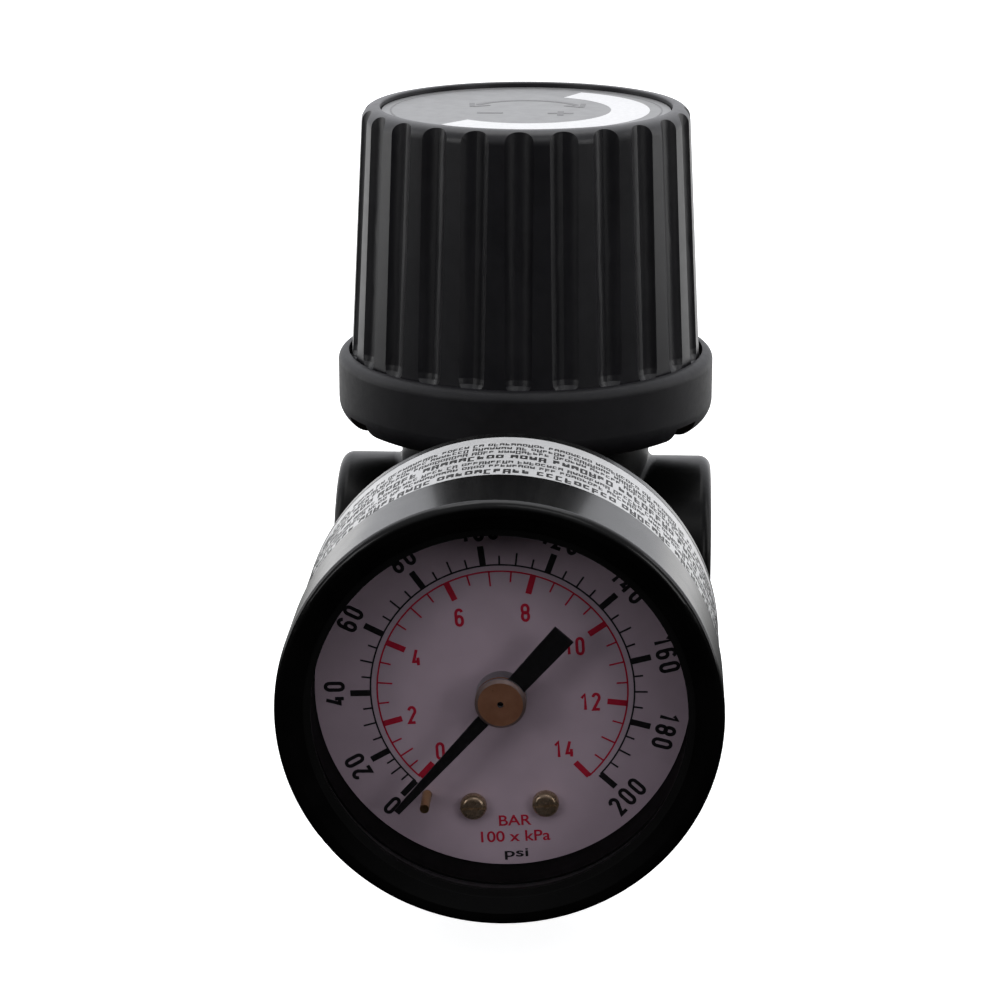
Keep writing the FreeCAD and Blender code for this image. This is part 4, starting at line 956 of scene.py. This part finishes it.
def make_floor():
    """A pale floor: white to the camera, and in reflections bright only behind the part."""
    bpy.ops.mesh.primitive_plane_add(size=6, location=(0, 0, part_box("bottom_plug")[0].z))
    floor = bpy.context.object
    floor.name = "studio_floor"
    s = Surface("pale_floor", Roughness=0.6, Specular_IOR_Level=0.2)
    s.colour(s.noise(12, 3), grey(0.86), grey(0.9))
    s.shader.inputs["Emission Color"].default_value = (1, 1, 1, 1)
    s.shader.inputs["Emission Strength"].default_value = FLOOR_GLOW
    along = s.add("ShaderNodeSeparateXYZ")
    s.link(s.place, along.inputs["Vector"])
    behind = s.mapped(along.outputs["Y"], 0, FLOOR_BEHIND, start=FLOOR_DARK_UNTIL,
                      end=FLOOR_BRIGHT_FROM, interpolation_type="SMOOTHSTEP")
    glow = s.add("ShaderNodeEmission")
    s.link(behind, glow.inputs["Strength"])
    paths = s.add("ShaderNodeLightPath")
    mix = s.add("ShaderNodeMixShader")
    s.link(paths.outputs["Is Camera Ray"], mix.inputs["Fac"])
    s.link(glow.outputs["Emission"], mix.inputs[1])
    s.link(s.shader.outputs["BSDF"], mix.inputs[2])
    s.link(mix.outputs["Shader"], s.tree.nodes["Material Output"].inputs["Surface"])
    floor.data.materials.append(s.material)


def make_world():
    """White to the camera; the room that lights the part is bright above and behind."""
    world = bpy.data.worlds.new("studio")
    bpy.context.scene.world = world
    world.use_nodes = True
    tree = world.node_tree
    links = tree.links

    def ramp(output, start, end, strength):
        """Rises smoothly from nothing at the start to full strength at the end."""
        node = tree.nodes.new("ShaderNodeMapRange")
        node.interpolation_type = "SMOOTHSTEP"
        node.inputs["From Min"].default_value = start
        node.inputs["From Max"].default_value = end
        node.inputs["To Max"].default_value = strength
        links.new(output, node.inputs["Value"])
        return node.outputs["Result"]

    def total(first, second):
        """The sum of an output and either a number or another output."""
        node = tree.nodes.new("ShaderNodeMath")
        links.new(first, node.inputs[0])
        if isinstance(second, float):
            node.inputs[1].default_value = second
        else:
            links.new(second, node.inputs[1])
        return node.outputs["Value"]

    coordinates = tree.nodes.new("ShaderNodeTexCoord")
    split = tree.nodes.new("ShaderNodeSeparateXYZ")
    links.new(coordinates.outputs["Generated"], split.inputs["Vector"])
    above = ramp(split.outputs["Z"], start=0.05, end=0.9, strength=ROOM_ABOVE)
    horizon = ramp(split.outputs["Z"], start=0.0, end=0.2, strength=ROOM_HORIZON)
    behind = ramp(split.outputs["Y"], start=-0.1, end=0.7, strength=ROOM_BEHIND)
    room = tree.nodes["Background"]
    room.inputs["Color"].default_value = (0.95, 0.96, 1.0, 1)
    links.new(total(total(total(above, behind), horizon), ROOM_IN_FRONT), room.inputs["Strength"])
    plain = tree.nodes.new("ShaderNodeBackground")
    plain.inputs["Color"].default_value = (1, 1, 1, 1)
    paths = tree.nodes.new("ShaderNodeLightPath")
    mix = tree.nodes.new("ShaderNodeMixShader")
    links.new(paths.outputs["Is Camera Ray"], mix.inputs["Fac"])
    links.new(room.outputs["Background"], mix.inputs[1])
    links.new(plain.outputs["Background"], mix.inputs[2])
    links.new(mix.outputs["Shader"], tree.nodes["World Output"].inputs["Surface"])


def soft_light(name, place, aim, size, power):
    """A rectangular lamp at a place, turned towards its aim."""
    lamp = bpy.data.lights.new(name, "AREA")
    lamp.shape = "RECTANGLE"
    lamp.size, lamp.size_y = size
    lamp.energy = power
    item = bpy.data.objects.new(name, lamp)
    bpy.context.scene.collection.objects.link(item)
    item.location = place
    direction = Vector(aim) - Vector(place)
    item.rotation_euler = direction.to_track_quat("-Z", "Y").to_euler()


def make_lights():
    """Soft lights above, at both front corners, and tall at both sides a little behind."""
    aim = (0, 0, 0.04)
    soft_light("front_softbox", (0.25, -0.75, 1.0), aim, (0.6, 0.4), FRONT_LIGHT)
    soft_light("overhead_softbox", (0, 0.1, 0.7), aim, (0.6, 0.4), TOP_LIGHT)
    for side, name in ((-1, "left"), (1, "right")):
        soft_light(name + "_softbox", (side * 0.5, 0.05, 0.15), aim, (0.12, 0.5), SIDE_LIGHT)
        soft_light(name + "_front_softbox", (side * 0.85, -0.8, 0.4), aim, (0.35, 0.5),
                   FRONT_SIDE_LIGHT)


CAMERA_X = 0.012637
CAMERA_Y = -0.314472
CAMERA_ABOVE_GAUGE = 0.097894
CAMERA_DIRECTION = (-0.04709, 0.95619, -0.28894)
CAMERA_LENS = 104.87


def make_camera():
    """Slightly right of centre, looking down on the knob."""
    camera = bpy.data.cameras.new("camera")
    camera.sensor_width = 36
    camera.lens = CAMERA_LENS
    camera.clip_start = 0.01
    item = bpy.data.objects.new("camera", camera)
    bpy.context.scene.collection.objects.link(item)
    item.location = (CAMERA_X, CAMERA_Y, GAUGE_HEIGHT + CAMERA_ABOVE_GAUGE)
    item.rotation_euler = Vector(CAMERA_DIRECTION).to_track_quat("-Z", "Y").to_euler()
    bpy.context.scene.camera = item


# ------------------------------------------------------------------ build

paint_nodes()
print_psi_scale()
print_bar_scale()
print_units()
print_case_label()
print_badge()
port_thread("inlet_thread", -1)
port_thread("outlet_thread", 1)
coil("range_spring_coils", "range_spring",
     wire_radius=1 * MM, turns=4)
split_diaphragm()
coil("valve_spring_coils", "valve_spring",
     wire_radius=0.3 * MM, turns=7)
make_floor()
make_world()
make_lights()
make_camera()
bpy.context.scene.view_settings.view_transform = "Standard"
